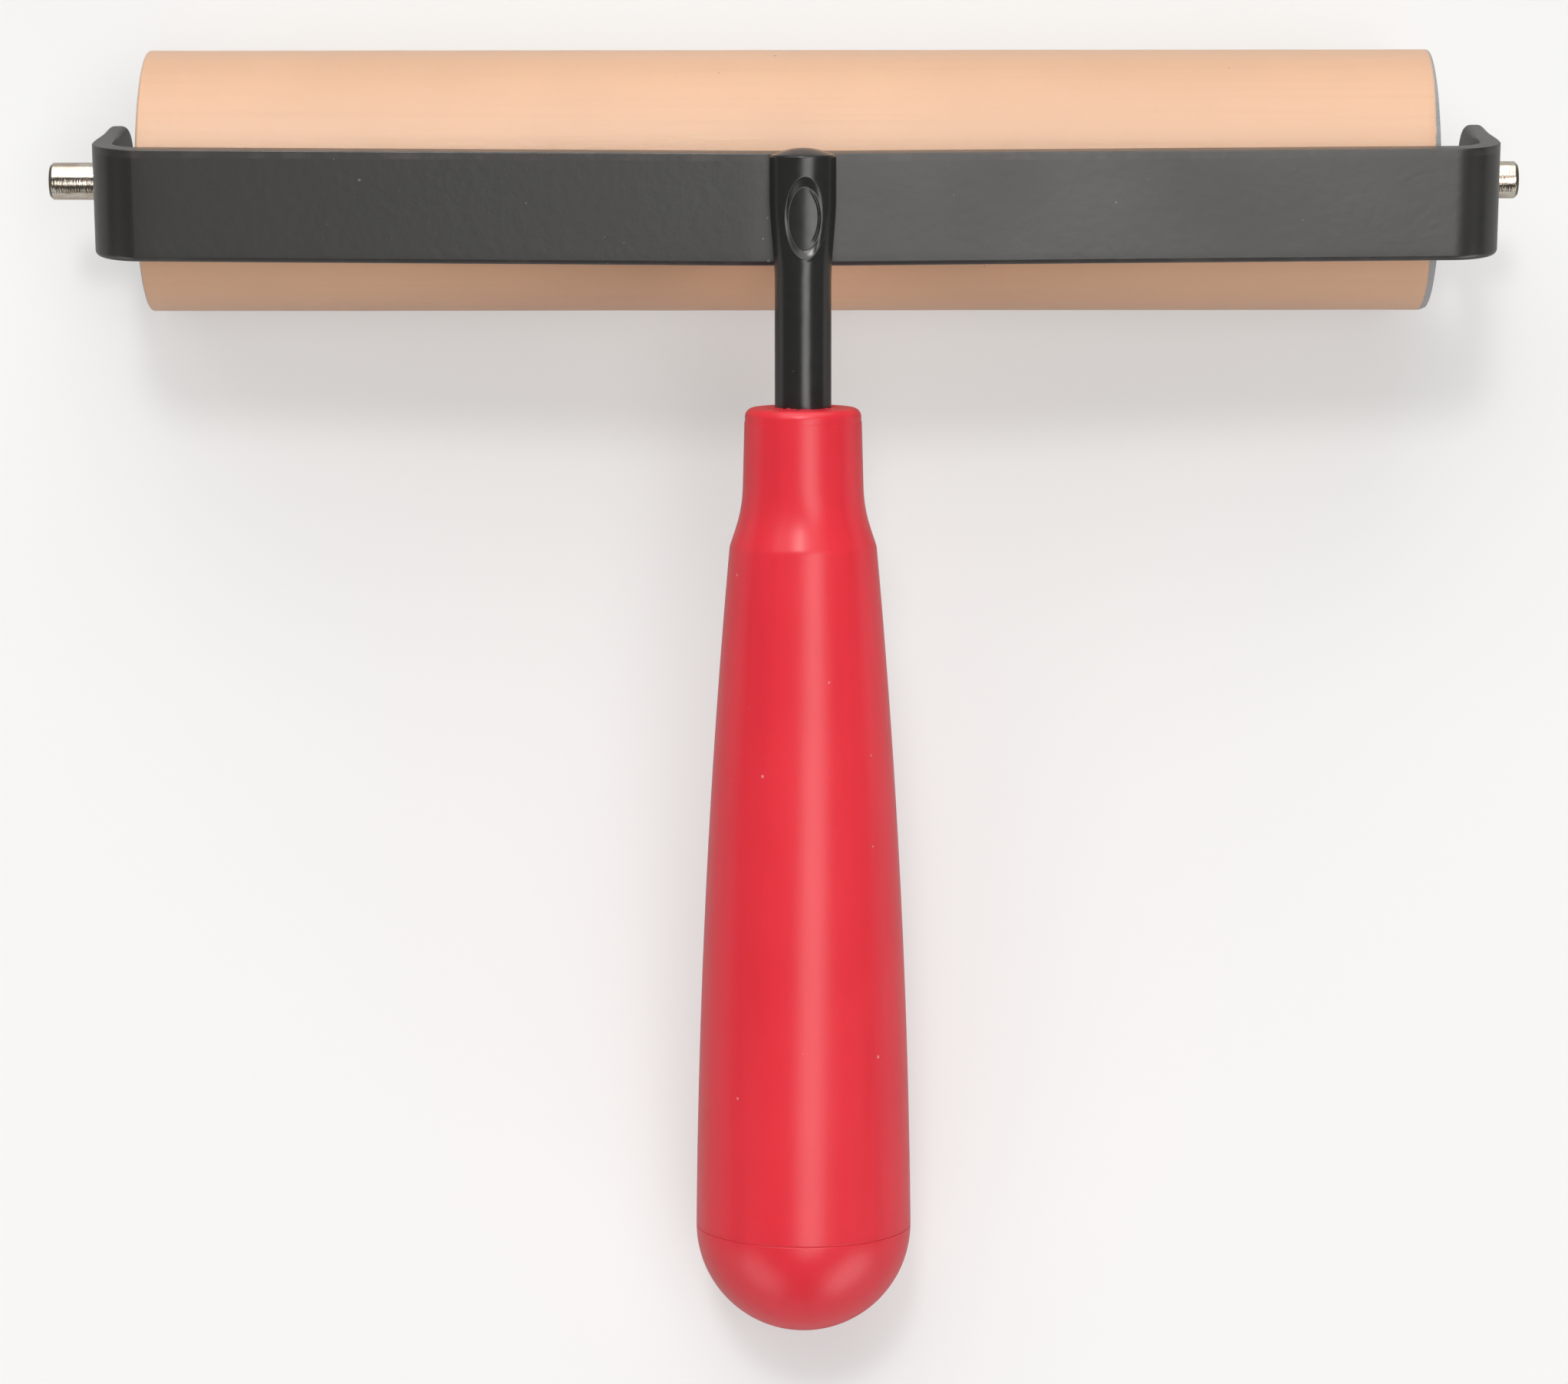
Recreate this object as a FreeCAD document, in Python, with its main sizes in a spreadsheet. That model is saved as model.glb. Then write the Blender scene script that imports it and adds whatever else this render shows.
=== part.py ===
"""Rubber brayer: a soft rubber roller on a fixed axle, held by a bent steel strap with a handle.

Row frame: millimetres, the origin is the centre of the roller on its axis, +X runs along the roller
and +Z is up from the table that the brayer rests on, on its roller and on the butt of its handle.
The handle points towards -Y.

The frame and the handle are drawn in the strap's own frame, where X runs along the roller, Z is
square to the strap and -Y runs towards the handle. REST then tilts every piece about the roller's
axis until roller and butt touch the same table.
"""
import FreeCAD, Part
import math
import os

import Sketcher
from FreeCAD import Placement, Rotation, Vector

DIMENSIONS = {
    "roller_width": (203.2, "length of the rubber roller, 8 inches"),
    "roller_radius": (20.65, "outside of the rubber"),
    "roller_corner": (0.8, "rounding of the rubber's two rims"),
    "rubber_depth": (6.35, "thickness of the rubber on its core"),
    "core_wall": (2.0, "wall of the core tube"),
    "plug_length": (16.0, "depth of an end plug inside the core"),
    "plug_wall": (2.2, "rim and web of an end plug"),
    "boss_radius": (5.4, "boss of an end plug"),
    "boss_proud": (1.3, "how far the boss stands out of the roller"),
    "hub_wall": (1.2, "extra wall of the plug's hub inside the boss"),
    "bush_radius": (4.5, "outside of a bush in its plug"),
    "bush_length": (14.0, "bush in the plug, without its flange"),
    "flange_radius": (5.3, "flange of a bush and thrust washer"),
    "flange_depth": (1.0, "thickness of a bush's flange"),
    "running_gap": (0.05, "radial clearance of the bushes on the axle"),
    "washer_depth": (0.8, "thickness of a thrust washer"),
    "washer_gap": (0.15, "radial clearance of a washer on the axle"),
    "axle_radius": (3.175, "axle between the arms"),
    "axle_end_radius": (2.95, "turned-down free ends of the axle"),
    "axle_left_end": (9.3, "axle past the left arm"),
    "axle_right_end": (5.4, "axle past the right arm"),
    "axle_chamfer": (0.5, "chamfer of the axle's ends"),
    "arm_gap": (4.8, "from a centred roller's end to the arm"),
    "frame_offset": (1.3, "how far the frame sits to the right of the roller's middle"),
    "strap_width": (17.5, "width of the strap and its arms"),
    "strap_depth": (3.2, "thickness of the strap"),
    "strap_reach": (25.4, "from the axle to the strap's outer face at the bends"),
    "strap_bow": (4.8, "how far the strap's middle stands out beyond its bends"),
    "strap_flat": (12.0, "flat in the middle of the strap, under the shank"),
    "bend_radius": (8.0, "outside of the strap's two bends"),
    "strap_edge": (0.9, "rounding of the strap's long edges"),
    "shank_offset": (1.0, "how far the shank sits to the right of the strap's middle"),
    "rod_radius": (4.35, "round part of the shank"),
    "splay": (7.2, "angle between the shank and the strap, degrees"),
    "tip_half_width": (5.1, "half the width of the shank's flattened tip"),
    "tip_half_height": (4.0, "half the height of the flattened tip before it is cut flat"),
    "tip_dome": (1.2, "how far the shank's end is domed"),
    "tip_full": (6.0, "stretch of the tip that keeps its full flattening"),
    "tip_half_way": (6.5, "from the strap's edge to where half of the flattening is left"),
    "tip_blend": (2.0, "from the strap's edge to where the shank is fully round"),
    "shank_gap": (20.9, "shank between the strap's edge and the handle's mouth"),
    "tang_length": (84.0, "shank inside the handle"),
    "mark_width": (6.0, "width of the oval pressing mark on the shank's tip"),
    "mark_length": (12.4, "length of the pressing mark"),
    "mark_depth": (1.1, "depth of the pressing mark"),
    "mark_at": (8.3, "from the strap's near edge to the middle of the pressing mark"),
    "neck_length": (15.6, "straight neck of the handle"),
    "mouth_radius": (9.0, "handle at its mouth"),
    "neck_radius": (9.4, "handle where the neck ends"),
    "shoulder_at": (21.4, "from the mouth to the top of the shoulder"),
    "shoulder_radius": (11.35, "handle at the top of the shoulder"),
    "belly_radius": (1330.0, "radius of the long curve of the handle's side"),
    "butt_at": (128.1, "from the mouth to the end cap's seam"),
    "butt_radius": (16.8, "handle at the seam and the ball of its cap"),
    "mouth_rounding": (1.5, "rounding of the mouth's rim"),
    "neck_rounding": (6.0, "turn from the neck into the shoulder"),
    "shoulder_rounding": (5.0, "turn from the shoulder into the belly"),
    "spigot_radius": (14.3, "bore of the handle at the cap"),
    "spigot_length": (6.5, "spigot of the cap in the handle"),
    "spigot_wall": (1.6, "wall of the cap's spigot"),
    "spigot_gap": (0.5, "from the spigot's end to the bottom of its bore"),
    "cap_wall": (3.0, "wall of the cap at its crown"),
    "cavity_at": (30.0, "from the mouth to the hollow inside"),
    "cavity_radius": (8.9, "hollow of the handle at its narrow end"),
    "socket_radius": (6.6, "tube inside the handle that holds the shank"),
    "socket_end": (78.0, "from the mouth to the socket tube's end"),
    "rib_depth": (2.0, "thickness of the ribs inside the handle"),
    "rib_lap": (0.8, "how far a rib runs into the socket tube and into the wall"),
    "rib_short": (4.0, "from the ribs' end to the socket tube's end"),
    "retainer_radius": (8.0, "push-on lock washer on the tang"),
    "retainer_depth": (0.8, "thickness of the lock washer"),
    "overshoot": (2.0, "how far a cutting or joining shape runs past its face"),
    "least_edge": (0.5, "shortest edge that is rounded"),
}
RIB_COUNT = 4
# places and sizes this close, in millimetres, are the same
SAME = 0.01
BODY_AXIS_X = Rotation(Vector(0, 1, 0), 90)
BODY_AXIS_MINUS_X = Rotation(Vector(0, 1, 0), -90)

doc = FreeCAD.newDocument("brayer")
sheet = doc.addObject("Spreadsheet::Sheet", "Sizes")
for row, (alias, (value, meaning)) in enumerate(DIMENSIONS.items(), start=1):
    sheet.set(f"A{row}", meaning)
    sheet.set(f"B{row}", str(value))
    sheet.setAlias(f"B{row}", alias)
doc.recompute()


class Size:
    """A number and the sheet expression that drives it, kept together through arithmetic."""

    def __init__(self, value, text):
        self.value = value
        self.text = text

    def __add__(self, other):
        other = as_size(other)
        return Size(self.value + other.value, f"({self.text} + {other.text})")

    def __sub__(self, other):
        other = as_size(other)
        return Size(self.value - other.value, f"({self.text} - {other.text})")

    def __mul__(self, other):
        other = as_size(other)
        return Size(self.value * other.value, f"({self.text} * {other.text})")

    def __truediv__(self, other):
        other = as_size(other)
        return Size(self.value / other.value, f"({self.text} / {other.text})")

    def __neg__(self):
        return Size(-self.value, f"(0 - {self.text})")


def as_size(number):
    return number if isinstance(number, Size) else Size(float(number), str(float(number)))


def cell(alias):
    return Size(float(sheet.get(alias)), f"Sizes.{alias}")


S = {alias: cell(alias) for alias in DIMENSIONS}


# ---------------------------------------------------------------- sketches and features

def new_body(name):
    body = doc.addObject("PartDesign::Body", name)
    body.Label = name
    return body


def new_sketch(body, plane, name, lift=None):
    """A sketch on one of the body's own origin planes, lifted along its normal by a Size."""
    sketch = body.newObject("Sketcher::SketchObject", name)
    support = next(f for f in body.Origin.OriginFeatures if f.Role == plane)
    sketch.AttachmentSupport = [(support, "")]
    sketch.MapMode = "FlatFace"
    if lift is not None:
        sketch.AttachmentOffset = Placement(Vector(0, 0, lift.value), Rotation())
        sketch.setExpression("AttachmentOffset.Base.z", lift.text)
    return sketch


def bind(sketch, constraint, size):
    index = sketch.addConstraint(constraint)
    sketch.setExpression(f"Constraints[{index}]", size.text)


def pin_point(sketch, edge, end, x, y):
    """Holds one end of an edge at (x, y) from the sketch's origin."""
    for kind, size in (("DistanceX", x), ("DistanceY", y)):
        size = as_size(size)
        bind(sketch, Sketcher.Constraint(kind, -1, 1, edge, end, size.value), size)


def arc_between(start, end, radius, bulge):
    """An arc of the given radius from start to end that bulges to the left (+1) or right (-1)."""
    chord = end - start
    left = Vector(-chord.y, chord.x, 0).normalize()
    sagitta = radius - math.sqrt(radius ** 2 - (chord.Length / 2) ** 2)
    return Part.Arc(start, start + chord * 0.5 + left * (bulge * sagitta), end)


def outline(sketch, corners):
    """A closed outline. Each corner is (x, y), or (x, y, radius, bulge) where an arc leads on."""
    places = [tuple(as_size(value) for value in corner[:2]) for corner in corners]
    points = [Vector(x.value, y.value, 0) for x, y in places]
    first = None
    previous = None
    for i, corner in enumerate(corners):
        start = points[i]
        end = points[(i + 1) % len(corners)]
        if len(corner) == 2:
            edge = sketch.addGeometry(Part.LineSegment(start, end))
            start_end = (1, 2)
        else:
            radius = as_size(corner[2])
            edge = sketch.addGeometry(arc_between(start, end, radius.value, corner[3]))
            arc = sketch.Geometry[edge]
            runs_on = (arc.StartPoint - start).Length < (arc.EndPoint - start).Length
            start_end = (1, 2) if runs_on else (2, 1)
            bind(sketch, Sketcher.Constraint("Radius", edge, radius.value), radius)
        pin_point(sketch, edge, start_end[0], *places[i])
        if previous is None:
            first = (edge, start_end[0])
        else:
            sketch.addConstraint(Sketcher.Constraint("Coincident", *previous, edge, start_end[0]))
        previous = (edge, start_end[1])
    sketch.addConstraint(Sketcher.Constraint("Coincident", *previous, *first))


def circle(sketch, radius):
    """A circle about the sketch's origin."""
    radius = as_size(radius)
    edge = sketch.addGeometry(Part.Circle(Vector(0, 0, 0), Vector(0, 0, 1), radius.value))
    sketch.addConstraint(Sketcher.Constraint("Coincident", edge, 3, -1, 1))
    bind(sketch, Sketcher.Constraint("Radius", edge, radius.value), radius)


def ellipse(sketch, half_x, half_y, centre_y=0.0):
    """An ellipse with its axes along the sketch's, which is wider along x or along y."""
    wide_x = half_x.value >= half_y.value
    major, minor = (half_x, half_y) if wide_x else (half_y, half_x)
    centre = Vector(0, as_size(centre_y).value, 0)
    major_end = centre + (Vector(major.value, 0, 0) if wide_x else Vector(0, major.value, 0))
    minor_end = centre + (Vector(0, minor.value, 0) if wide_x else Vector(minor.value, 0, 0))
    edge = sketch.addGeometry(Part.Ellipse(major_end, minor_end, centre))
    sketch.exposeInternalGeometry(edge)
    pin_point(sketch, edge, 3, 0.0, centre_y)
    long_axis, short_axis = edge + 1, edge + 2
    along = "Horizontal" if wide_x else "Vertical"
    sketch.addConstraint(Sketcher.Constraint(along, long_axis))
    for axis, half in ((long_axis, major), (short_axis, minor)):
        bind(sketch, Sketcher.Constraint("Distance", axis, 2 * half.value), half * 2)


def origin_axis(body, role):
    return next(f for f in body.Origin.OriginFeatures if f.Role == role)


def pad(body, sketch, length, name, both_ways=False):
    feature = body.newObject("PartDesign::Pad", name)
    feature.Profile = sketch
    feature.Length = length.value
    feature.setExpression("Length", length.text)
    feature.Midplane = both_ways
    doc.recompute()
    return feature


def pocket(body, sketch, name, length=None, both_ways=False, reverse=False):
    """Cuts the sketch through everything, or to a depth, and checks that it did cut."""
    before = body.Shape.Volume
    feature = body.newObject("PartDesign::Pocket", name)
    feature.Profile = sketch
    feature.Reversed = reverse
    feature.Midplane = both_ways
    if length is None:
        feature.Type = "ThroughAll"
    else:
        feature.Length = length.value
        feature.setExpression("Length", length.text)
    doc.recompute()
    if body.Shape.Volume > before - 0.01:
        raise RuntimeError(f"{name} cuts nothing")
    return feature


def turned(body, sketch, name, groove=False):
    """Revolves the sketch about the body's Z axis, to add material or to cut it."""
    before = 0.0 if body.Shape.isNull() else body.Shape.Volume
    feature = body.newObject("PartDesign::Groove" if groove else "PartDesign::Revolution", name)
    feature.Profile = sketch
    feature.ReferenceAxis = (origin_axis(body, "Z_Axis"), [""])
    feature.Angle = 360
    doc.recompute()
    if groove and body.Shape.Volume > before - 0.01:
        raise RuntimeError(f"{name} cuts nothing")
    return feature


def round_edges(body, name, radius, wanted):
    """Rounds every edge of the body's tip that the function wanted picks."""
    tip = body.Tip
    names = [f"Edge{i}" for i, edge in enumerate(tip.Shape.Edges, start=1) if wanted(edge)]
    feature = body.newObject("PartDesign::Fillet", name)
    feature.Base = (tip, names)
    feature.Radius = radius.value
    feature.setExpression("Radius", radius.text)
    doc.recompute()
    return feature


def turned_body(name, corners, placement):
    """A piece that is one turned profile: corners are (radius, height along its axis)."""
    body = new_body(name)
    sketch = new_sketch(body, "XZ_Plane", f"{name}_profile")
    outline(sketch, corners)
    turned(body, sketch, f"{name}_turning")
    body.Placement = placement
    return body


# ---------------------------------------------------------------- places shared by the pieces

half_roller = S["roller_width"] / 2
arm_inside = half_roller + S["arm_gap"]
arm_outside = arm_inside + S["strap_depth"]
half_strap = S["strap_width"] / 2
core_radius = S["roller_radius"] - S["rubber_depth"]
core_bore = core_radius - S["core_wall"]
strap_top = S["strap_reach"] + S["strap_bow"]

# the shank's axis leaves the strap's near edge at this point, in the strap's frame
splay = math.radians(S["splay"].value)
sin_splay = Size(math.sin(splay), "sin(Sizes.splay * 1deg)")
cos_splay = Size(math.cos(splay), "cos(Sizes.splay * 1deg)")
shank_x = S["frame_offset"].value + S["shank_offset"].value
shank_start = Vector(shank_x, -half_strap.value, strap_top.value + S["rod_radius"].value)
shank_run = Vector(0, -math.cos(splay), math.sin(splay))

# the table touches the roller and the ball of the butt, which sets the angle that the strap rests at
ball = shank_start + shank_run * (S["shank_gap"].value + S["butt_at"].value)
ball_reach = math.hypot(ball.y, ball.z)
ball_drop = S["roller_radius"].value - S["butt_radius"].value
REST_ANGLE = math.degrees(math.atan2(ball.z, -ball.y) + math.asin(ball_drop / ball_reach))
REST = Placement(Vector(0, 0, 0), Rotation(Vector(1, 0, 0), REST_ANGLE))
FRAME = REST * Placement(Vector(S["frame_offset"].value, 0, 0), Rotation())

# a body on the shank has its Z axis along the shank, its X axis along the roller and its origin
# on the shank's axis at the strap's near edge, so +Y is the side that faces away from the strap
shank_up = Vector(0, math.sin(splay), math.cos(splay))
shank_turn = Rotation(Vector(1, 0, 0), shank_up, shank_run, "ZXY")
SHANK = REST * Placement(shank_start, shank_turn)
HANDLE = SHANK * Placement(Vector(0, 0, S["shank_gap"].value), Rotation())


def on_axle(side):
    """Placement of a turned piece whose Z axis points out along the axle, to side +1 or -1."""
    turn = BODY_AXIS_X if side > 0 else BODY_AXIS_MINUS_X
    return REST * Placement(Vector(0, 0, 0), turn)


# ---------------------------------------------------------------- the roller

def rubber_sleeve():
    """The soft rubber cover of the roller."""
    body = new_body("rubber_sleeve")
    sketch = new_sketch(body, "XY_Plane", "rubber_ring")
    circle(sketch, S["roller_radius"])
    circle(sketch, core_radius)
    pad(body, sketch, S["roller_width"], "rubber_length", both_ways=True)
    rim = S["roller_radius"].value
    round_edges(body, "rubber_rims", S["roller_corner"],
                lambda edge: is_ring(edge) and abs(edge.Curve.Radius - rim) < SAME)
    body.Placement = on_axle(1)
    return body


def is_ring(edge):
    return isinstance(edge.Curve, Part.Circle) and edge.isClosed()


def roller_core():
    """The stiff tube that the rubber is bonded to."""
    body = new_body("roller_core")
    sketch = new_sketch(body, "XY_Plane", "core_ring")
    circle(sketch, core_radius)
    circle(sketch, core_bore)
    pad(body, sketch, S["roller_width"], "core_length", both_ways=True)
    body.Placement = on_axle(1)
    return body


def end_plug(name, side):
    """A moulded cup pressed into the core: rim, web and the hub that holds the bush."""
    inner = half_roller - S["plug_length"]
    web = half_roller - S["plug_wall"]
    hub = S["boss_radius"] + S["hub_wall"]
    return turned_body(name, [
        (S["bush_radius"], inner),
        (hub, inner),
        (hub, web),
        (core_bore - S["plug_wall"], web),
        (core_bore - S["plug_wall"], inner),
        (core_bore, inner),
        (core_bore, half_roller),
        (S["boss_radius"], half_roller),
        (S["boss_radius"], half_roller + S["boss_proud"]),
        (S["bush_radius"], half_roller + S["boss_proud"]),
    ], on_axle(side))


def bush(name, side):
    """A flanged bush that turns on the axle with its plug."""
    flange = half_roller + S["boss_proud"]
    bore = S["axle_radius"] + S["running_gap"]
    return turned_body(name, [
        (bore, flange - S["bush_length"]),
        (S["bush_radius"], flange - S["bush_length"]),
        (S["bush_radius"], flange),
        (S["flange_radius"], flange),
        (S["flange_radius"], flange + S["flange_depth"]),
        (bore, flange + S["flange_depth"]),
    ], on_axle(side))


def thrust_washer(name, side):
    """A loose washer between the bush's flange and the arm, with equal play at the nearer arm."""
    flange = half_roller + S["boss_proud"] + S["flange_depth"]
    play = (arm_inside - S["frame_offset"] - flange - S["washer_depth"]) / 2
    near = flange + play
    bore = S["axle_radius"] + S["washer_gap"]
    return turned_body(name, [
        (bore, near),
        (S["flange_radius"], near),
        (S["flange_radius"], near + S["washer_depth"]),
        (bore, near + S["washer_depth"]),
    ], on_axle(side))


def axle():
    """A steel rod pressed through both arms, with its free ends turned down a little."""
    left_arm = S["frame_offset"] - arm_outside
    right_arm = S["frame_offset"] + arm_outside
    left = left_arm - S["axle_left_end"]
    right = right_arm + S["axle_right_end"]
    return turned_body("axle", [
        (0, left),
        (S["axle_end_radius"] - S["axle_chamfer"], left),
        (S["axle_end_radius"], left + S["axle_chamfer"]),
        (S["axle_end_radius"], left_arm),
        (S["axle_radius"], left_arm),
        (S["axle_radius"], right_arm),
        (S["axle_end_radius"], right_arm),
        (S["axle_end_radius"], right - S["axle_chamfer"]),
        (S["axle_end_radius"] - S["axle_chamfer"], right),
        (0, right),
    ], on_axle(1))


# ---------------------------------------------------------------- the frame

def yoke():
    """The bent strap: two arms, two bends and a middle that bows out to a flat under the shank."""
    body = new_body("yoke")
    inner_bend = S["strap_reach"] - S["strap_depth"]
    inner_bend = inner_bend + S["strap_bow"] * S["strap_depth"] / arm_outside
    half_flat = S["strap_flat"] / 2
    right_side = [
        (half_flat, strap_top),
        (arm_outside, S["strap_reach"]),
        (arm_outside, -half_strap),
        (arm_inside, -half_strap),
        (arm_inside, inner_bend),
        (half_flat, strap_top - S["strap_depth"]),
    ]
    left_side = [(-x, y) for x, y in reversed(right_side)]
    sketch = new_sketch(body, "XZ_Plane", "strap_side_view")
    outline(sketch, right_side + left_side)
    pad(body, sketch, S["strap_width"], "strap_pad", both_ways=True)
    bend_edges(body, S["bend_radius"], arm_outside.value, S["strap_reach"].value, "outer_bends")
    inner_radius = S["bend_radius"] - S["strap_depth"]
    bend_edges(body, inner_radius, arm_inside.value, inner_bend.value, "inner_bends")
    arm_ends(body)
    sketch = new_sketch(body, "YZ_Plane", "axle_hole")
    circle(sketch, S["axle_radius"])
    pocket(body, sketch, "axle_holes", both_ways=True)
    hole = S["axle_radius"].value
    round_edges(body, "strap_edges", S["strap_edge"],
                lambda edge: not (is_ring(edge) and abs(edge.Curve.Radius - hole) < SAME)
                and on_long_side(edge))
    body.Placement = FRAME
    return body


def bend_edges(body, radius, x, z, name):
    """Rounds the two bend lines, which run across the strap at (+x, z) and (-x, z)."""
    def at_bend(edge):
        ends = [vertex.Point for vertex in edge.Vertexes]
        return len(ends) == 2 and all(
            abs(abs(p.x) - x) < SAME and abs(p.z - z) < SAME for p in ends)
    round_edges(body, name, radius, at_bend)


def arm_ends(body):
    """Cuts both arms' ends to a half circle about the axle."""
    clear = half_strap + S["overshoot"]
    sketch = new_sketch(body, "YZ_Plane", "arm_end_cut")
    outline(sketch, [
        (-clear, 0),
        (-half_strap, 0, half_strap, -1),
        (0, -half_strap, half_strap, -1),
        (half_strap, 0),
        (clear, 0),
        (clear, -clear),
        (-clear, -clear),
    ])
    pocket(body, sketch, "arm_end_rounding", both_ways=True)


def on_long_side(edge):
    """True for the edges around the strap's outline: none of them runs straight across it."""
    ends = [vertex.Point for vertex in edge.Vertexes]
    width = S["strap_width"].value
    runs_across = len(ends) == 2 and abs(abs(ends[0].y - ends[1].y) - width) < SAME
    return not runs_across and edge.Length > S["least_edge"].value


def shank():
    """The round rod: flattened and domed tip on the strap, splayed run, tang inside the handle."""
    body = new_body("shank")
    tip = -(S["strap_width"] / cos_splay)
    dome_end = tip - S["tip_dome"]
    widening = S["tip_half_width"] - S["rod_radius"]
    lowering = S["tip_half_height"] - S["rod_radius"]
    sections = (
        (dome_end, 1.0),
        (tip + S["tip_full"], 1.0),
        (-S["tip_half_way"], 0.5),
        (S["tip_blend"], 0.0),
    )
    sketches = []
    for i, (at, flattening) in enumerate(sections, start=1):
        sketch = new_sketch(body, "XY_Plane", f"tip_section_{i}", lift=at)
        ellipse(sketch, S["rod_radius"] + widening * flattening,
                S["rod_radius"] + lowering * flattening)
        sketches.append(sketch)
    loft = body.newObject("PartDesign::AdditiveLoft", "flattened_tip")
    loft.Profile = sketches[0]
    loft.Sections = sketches[1:]
    doc.recompute()
    sketch = new_sketch(body, "XY_Plane", "rod_section", lift=S["tip_blend"])
    circle(sketch, S["rod_radius"])
    pad(body, sketch, S["shank_gap"] + S["tang_length"] - S["tip_blend"], "rod")
    tip_underside(body, dome_end)
    tip_end(body, tip, dome_end)
    pressing_mark(body)
    body.Placement = SHANK
    return body


def tip_underside(body, dome_end):
    """Cuts the tip flat where it lies on the strap: the strap's face in the shank's own frame."""
    def face(along):
        return -((S["rod_radius"] + along * sin_splay) / cos_splay)
    far = dome_end - S["overshoot"]
    near = S["overshoot"]
    below = -(S["rod_radius"] * 2)
    sketch = new_sketch(body, "YZ_Plane", "strap_face")
    outline(sketch, [(face(near), near), (face(far), far), (below, far), (below, near)])
    pocket(body, sketch, "tip_flat", both_ways=True)


def tip_end(body, tip, dome_end):
    """Turns the tip's end to a shallow dome."""
    rim = S["tip_half_width"]
    dome = (rim * rim + S["tip_dome"] * S["tip_dome"]) / (S["tip_dome"] * 2)
    clear = rim + S["overshoot"]
    beyond = dome_end - S["overshoot"]
    sketch = new_sketch(body, "XZ_Plane", "dome_outline")
    outline(sketch, [
        (0, dome_end, dome, -1),
        (rim, tip),
        (clear, tip),
        (clear, beyond),
        (0, beyond),
    ])
    turned(body, sketch, "tip_dome", groove=True)


def pressing_mark(body):
    """The oval, flat-bottomed mark that the press left on the tip."""
    floor = S["tip_half_height"] - S["mark_depth"]
    sketch = new_sketch(body, "XZ_Plane", "mark_outline", lift=-floor)
    ellipse(sketch, S["mark_width"] / 2, S["mark_length"] / 2, centre_y=-S["mark_at"])
    pocket(body, sketch, "mark")


# ---------------------------------------------------------------- the handle

def handle_grip():
    """The moulded grip: straight neck, shoulder, long belly, hollow inside round a ribbed socket."""
    body = new_body("handle_grip")
    sketch = new_sketch(body, "XZ_Plane", "grip_profile")
    spigot_seat = S["butt_at"] - S["spigot_length"] - S["spigot_gap"]
    outline(sketch, [
        (S["mouth_radius"], 0),
        (S["neck_radius"], S["neck_length"]),
        (S["shoulder_radius"], S["shoulder_at"], S["belly_radius"], -1),
        (S["butt_radius"], S["butt_at"]),
        (S["spigot_radius"], S["butt_at"]),
        (S["spigot_radius"], spigot_seat),
        (S["cavity_radius"], S["cavity_at"]),
        (S["socket_radius"], S["cavity_at"]),
        (S["socket_radius"], S["socket_end"]),
        (S["rod_radius"], S["socket_end"]),
        (S["rod_radius"], 0),
    ])
    turned(body, sketch, "grip_turning")
    grip_ribs(body, spigot_seat)
    grip_roundings(body)
    body.Placement = HANDLE
    return body


def grip_ribs(body, spigot_seat):
    """Thin ribs between the socket tube and the wall."""
    slope = (S["spigot_radius"] - S["cavity_radius"]) / (spigot_seat - S["cavity_at"])
    start = S["cavity_at"] - S["rib_lap"]
    end = S["socket_end"] - S["rib_short"]
    inside = S["socket_radius"] - S["rib_lap"]
    outside = S["cavity_radius"] + S["rib_lap"]
    sketch = new_sketch(body, "XZ_Plane", "rib_side_view")
    outline(sketch, [
        (inside, start),
        (outside, start),
        (outside + slope * (end - S["cavity_at"]), end),
        (inside, end),
    ])
    rib = pad(body, sketch, S["rib_depth"], "rib", both_ways=True)
    pattern = body.newObject("PartDesign::PolarPattern", "ribs")
    pattern.Originals = [rib]
    pattern.Axis = (origin_axis(body, "Z_Axis"), [""])
    pattern.Angle = 360
    pattern.Occurrences = RIB_COUNT
    body.Tip = pattern
    doc.recompute()


def grip_roundings(body):
    """Rounds the mouth's rim and both turns of the shoulder."""
    def ring_at(radius, along):
        def wanted(edge):
            return (is_ring(edge) and abs(edge.Curve.Radius - radius.value) < SAME
                    and abs(edge.Curve.Center.z - along.value) < SAME)
        return wanted
    round_edges(body, "mouth_rim", S["mouth_rounding"], ring_at(S["mouth_radius"], as_size(0)))
    round_edges(body, "neck_turn", S["neck_rounding"], ring_at(S["neck_radius"], S["neck_length"]))
    round_edges(body, "shoulder_turn", S["shoulder_rounding"],
                ring_at(S["shoulder_radius"], S["shoulder_at"]))


def handle_cap():
    """The ball-shaped end cap: half a ball and a spigot in the grip's bore, hollow inside."""
    seam = S["butt_at"]
    hollow = S["spigot_radius"] - S["spigot_wall"]
    lift = S["butt_radius"] - S["cap_wall"] - hollow
    spigot_end = seam - S["spigot_length"]
    outside = joined("cap_outside", [
        half_ball("cap_ball", S["butt_radius"], seam),
        rod("cap_spigot", S["spigot_radius"], spigot_end, seam + S["overshoot"]),
    ])
    inside = joined("cap_inside", [
        half_ball("cap_hollow_ball", hollow, seam + lift),
        rod("cap_hollow_bore", hollow, spigot_end - S["overshoot"], seam + lift),
    ])
    cap = doc.addObject("Part::Cut", "handle_cap")
    cap.Base = outside
    cap.Tool = inside
    cap.Label = "handle_cap"
    doc.recompute()
    cap.Placement = HANDLE
    return cap


def half_ball(name, radius, base):
    """The upper half of a ball, its flat side at height base."""
    ball_half = doc.addObject("Part::Sphere", name)
    ball_half.Angle1 = 0
    ball_half.setExpression("Radius", radius.text)
    ball_half.setExpression("Placement.Base.z", base.text)
    return ball_half


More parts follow.
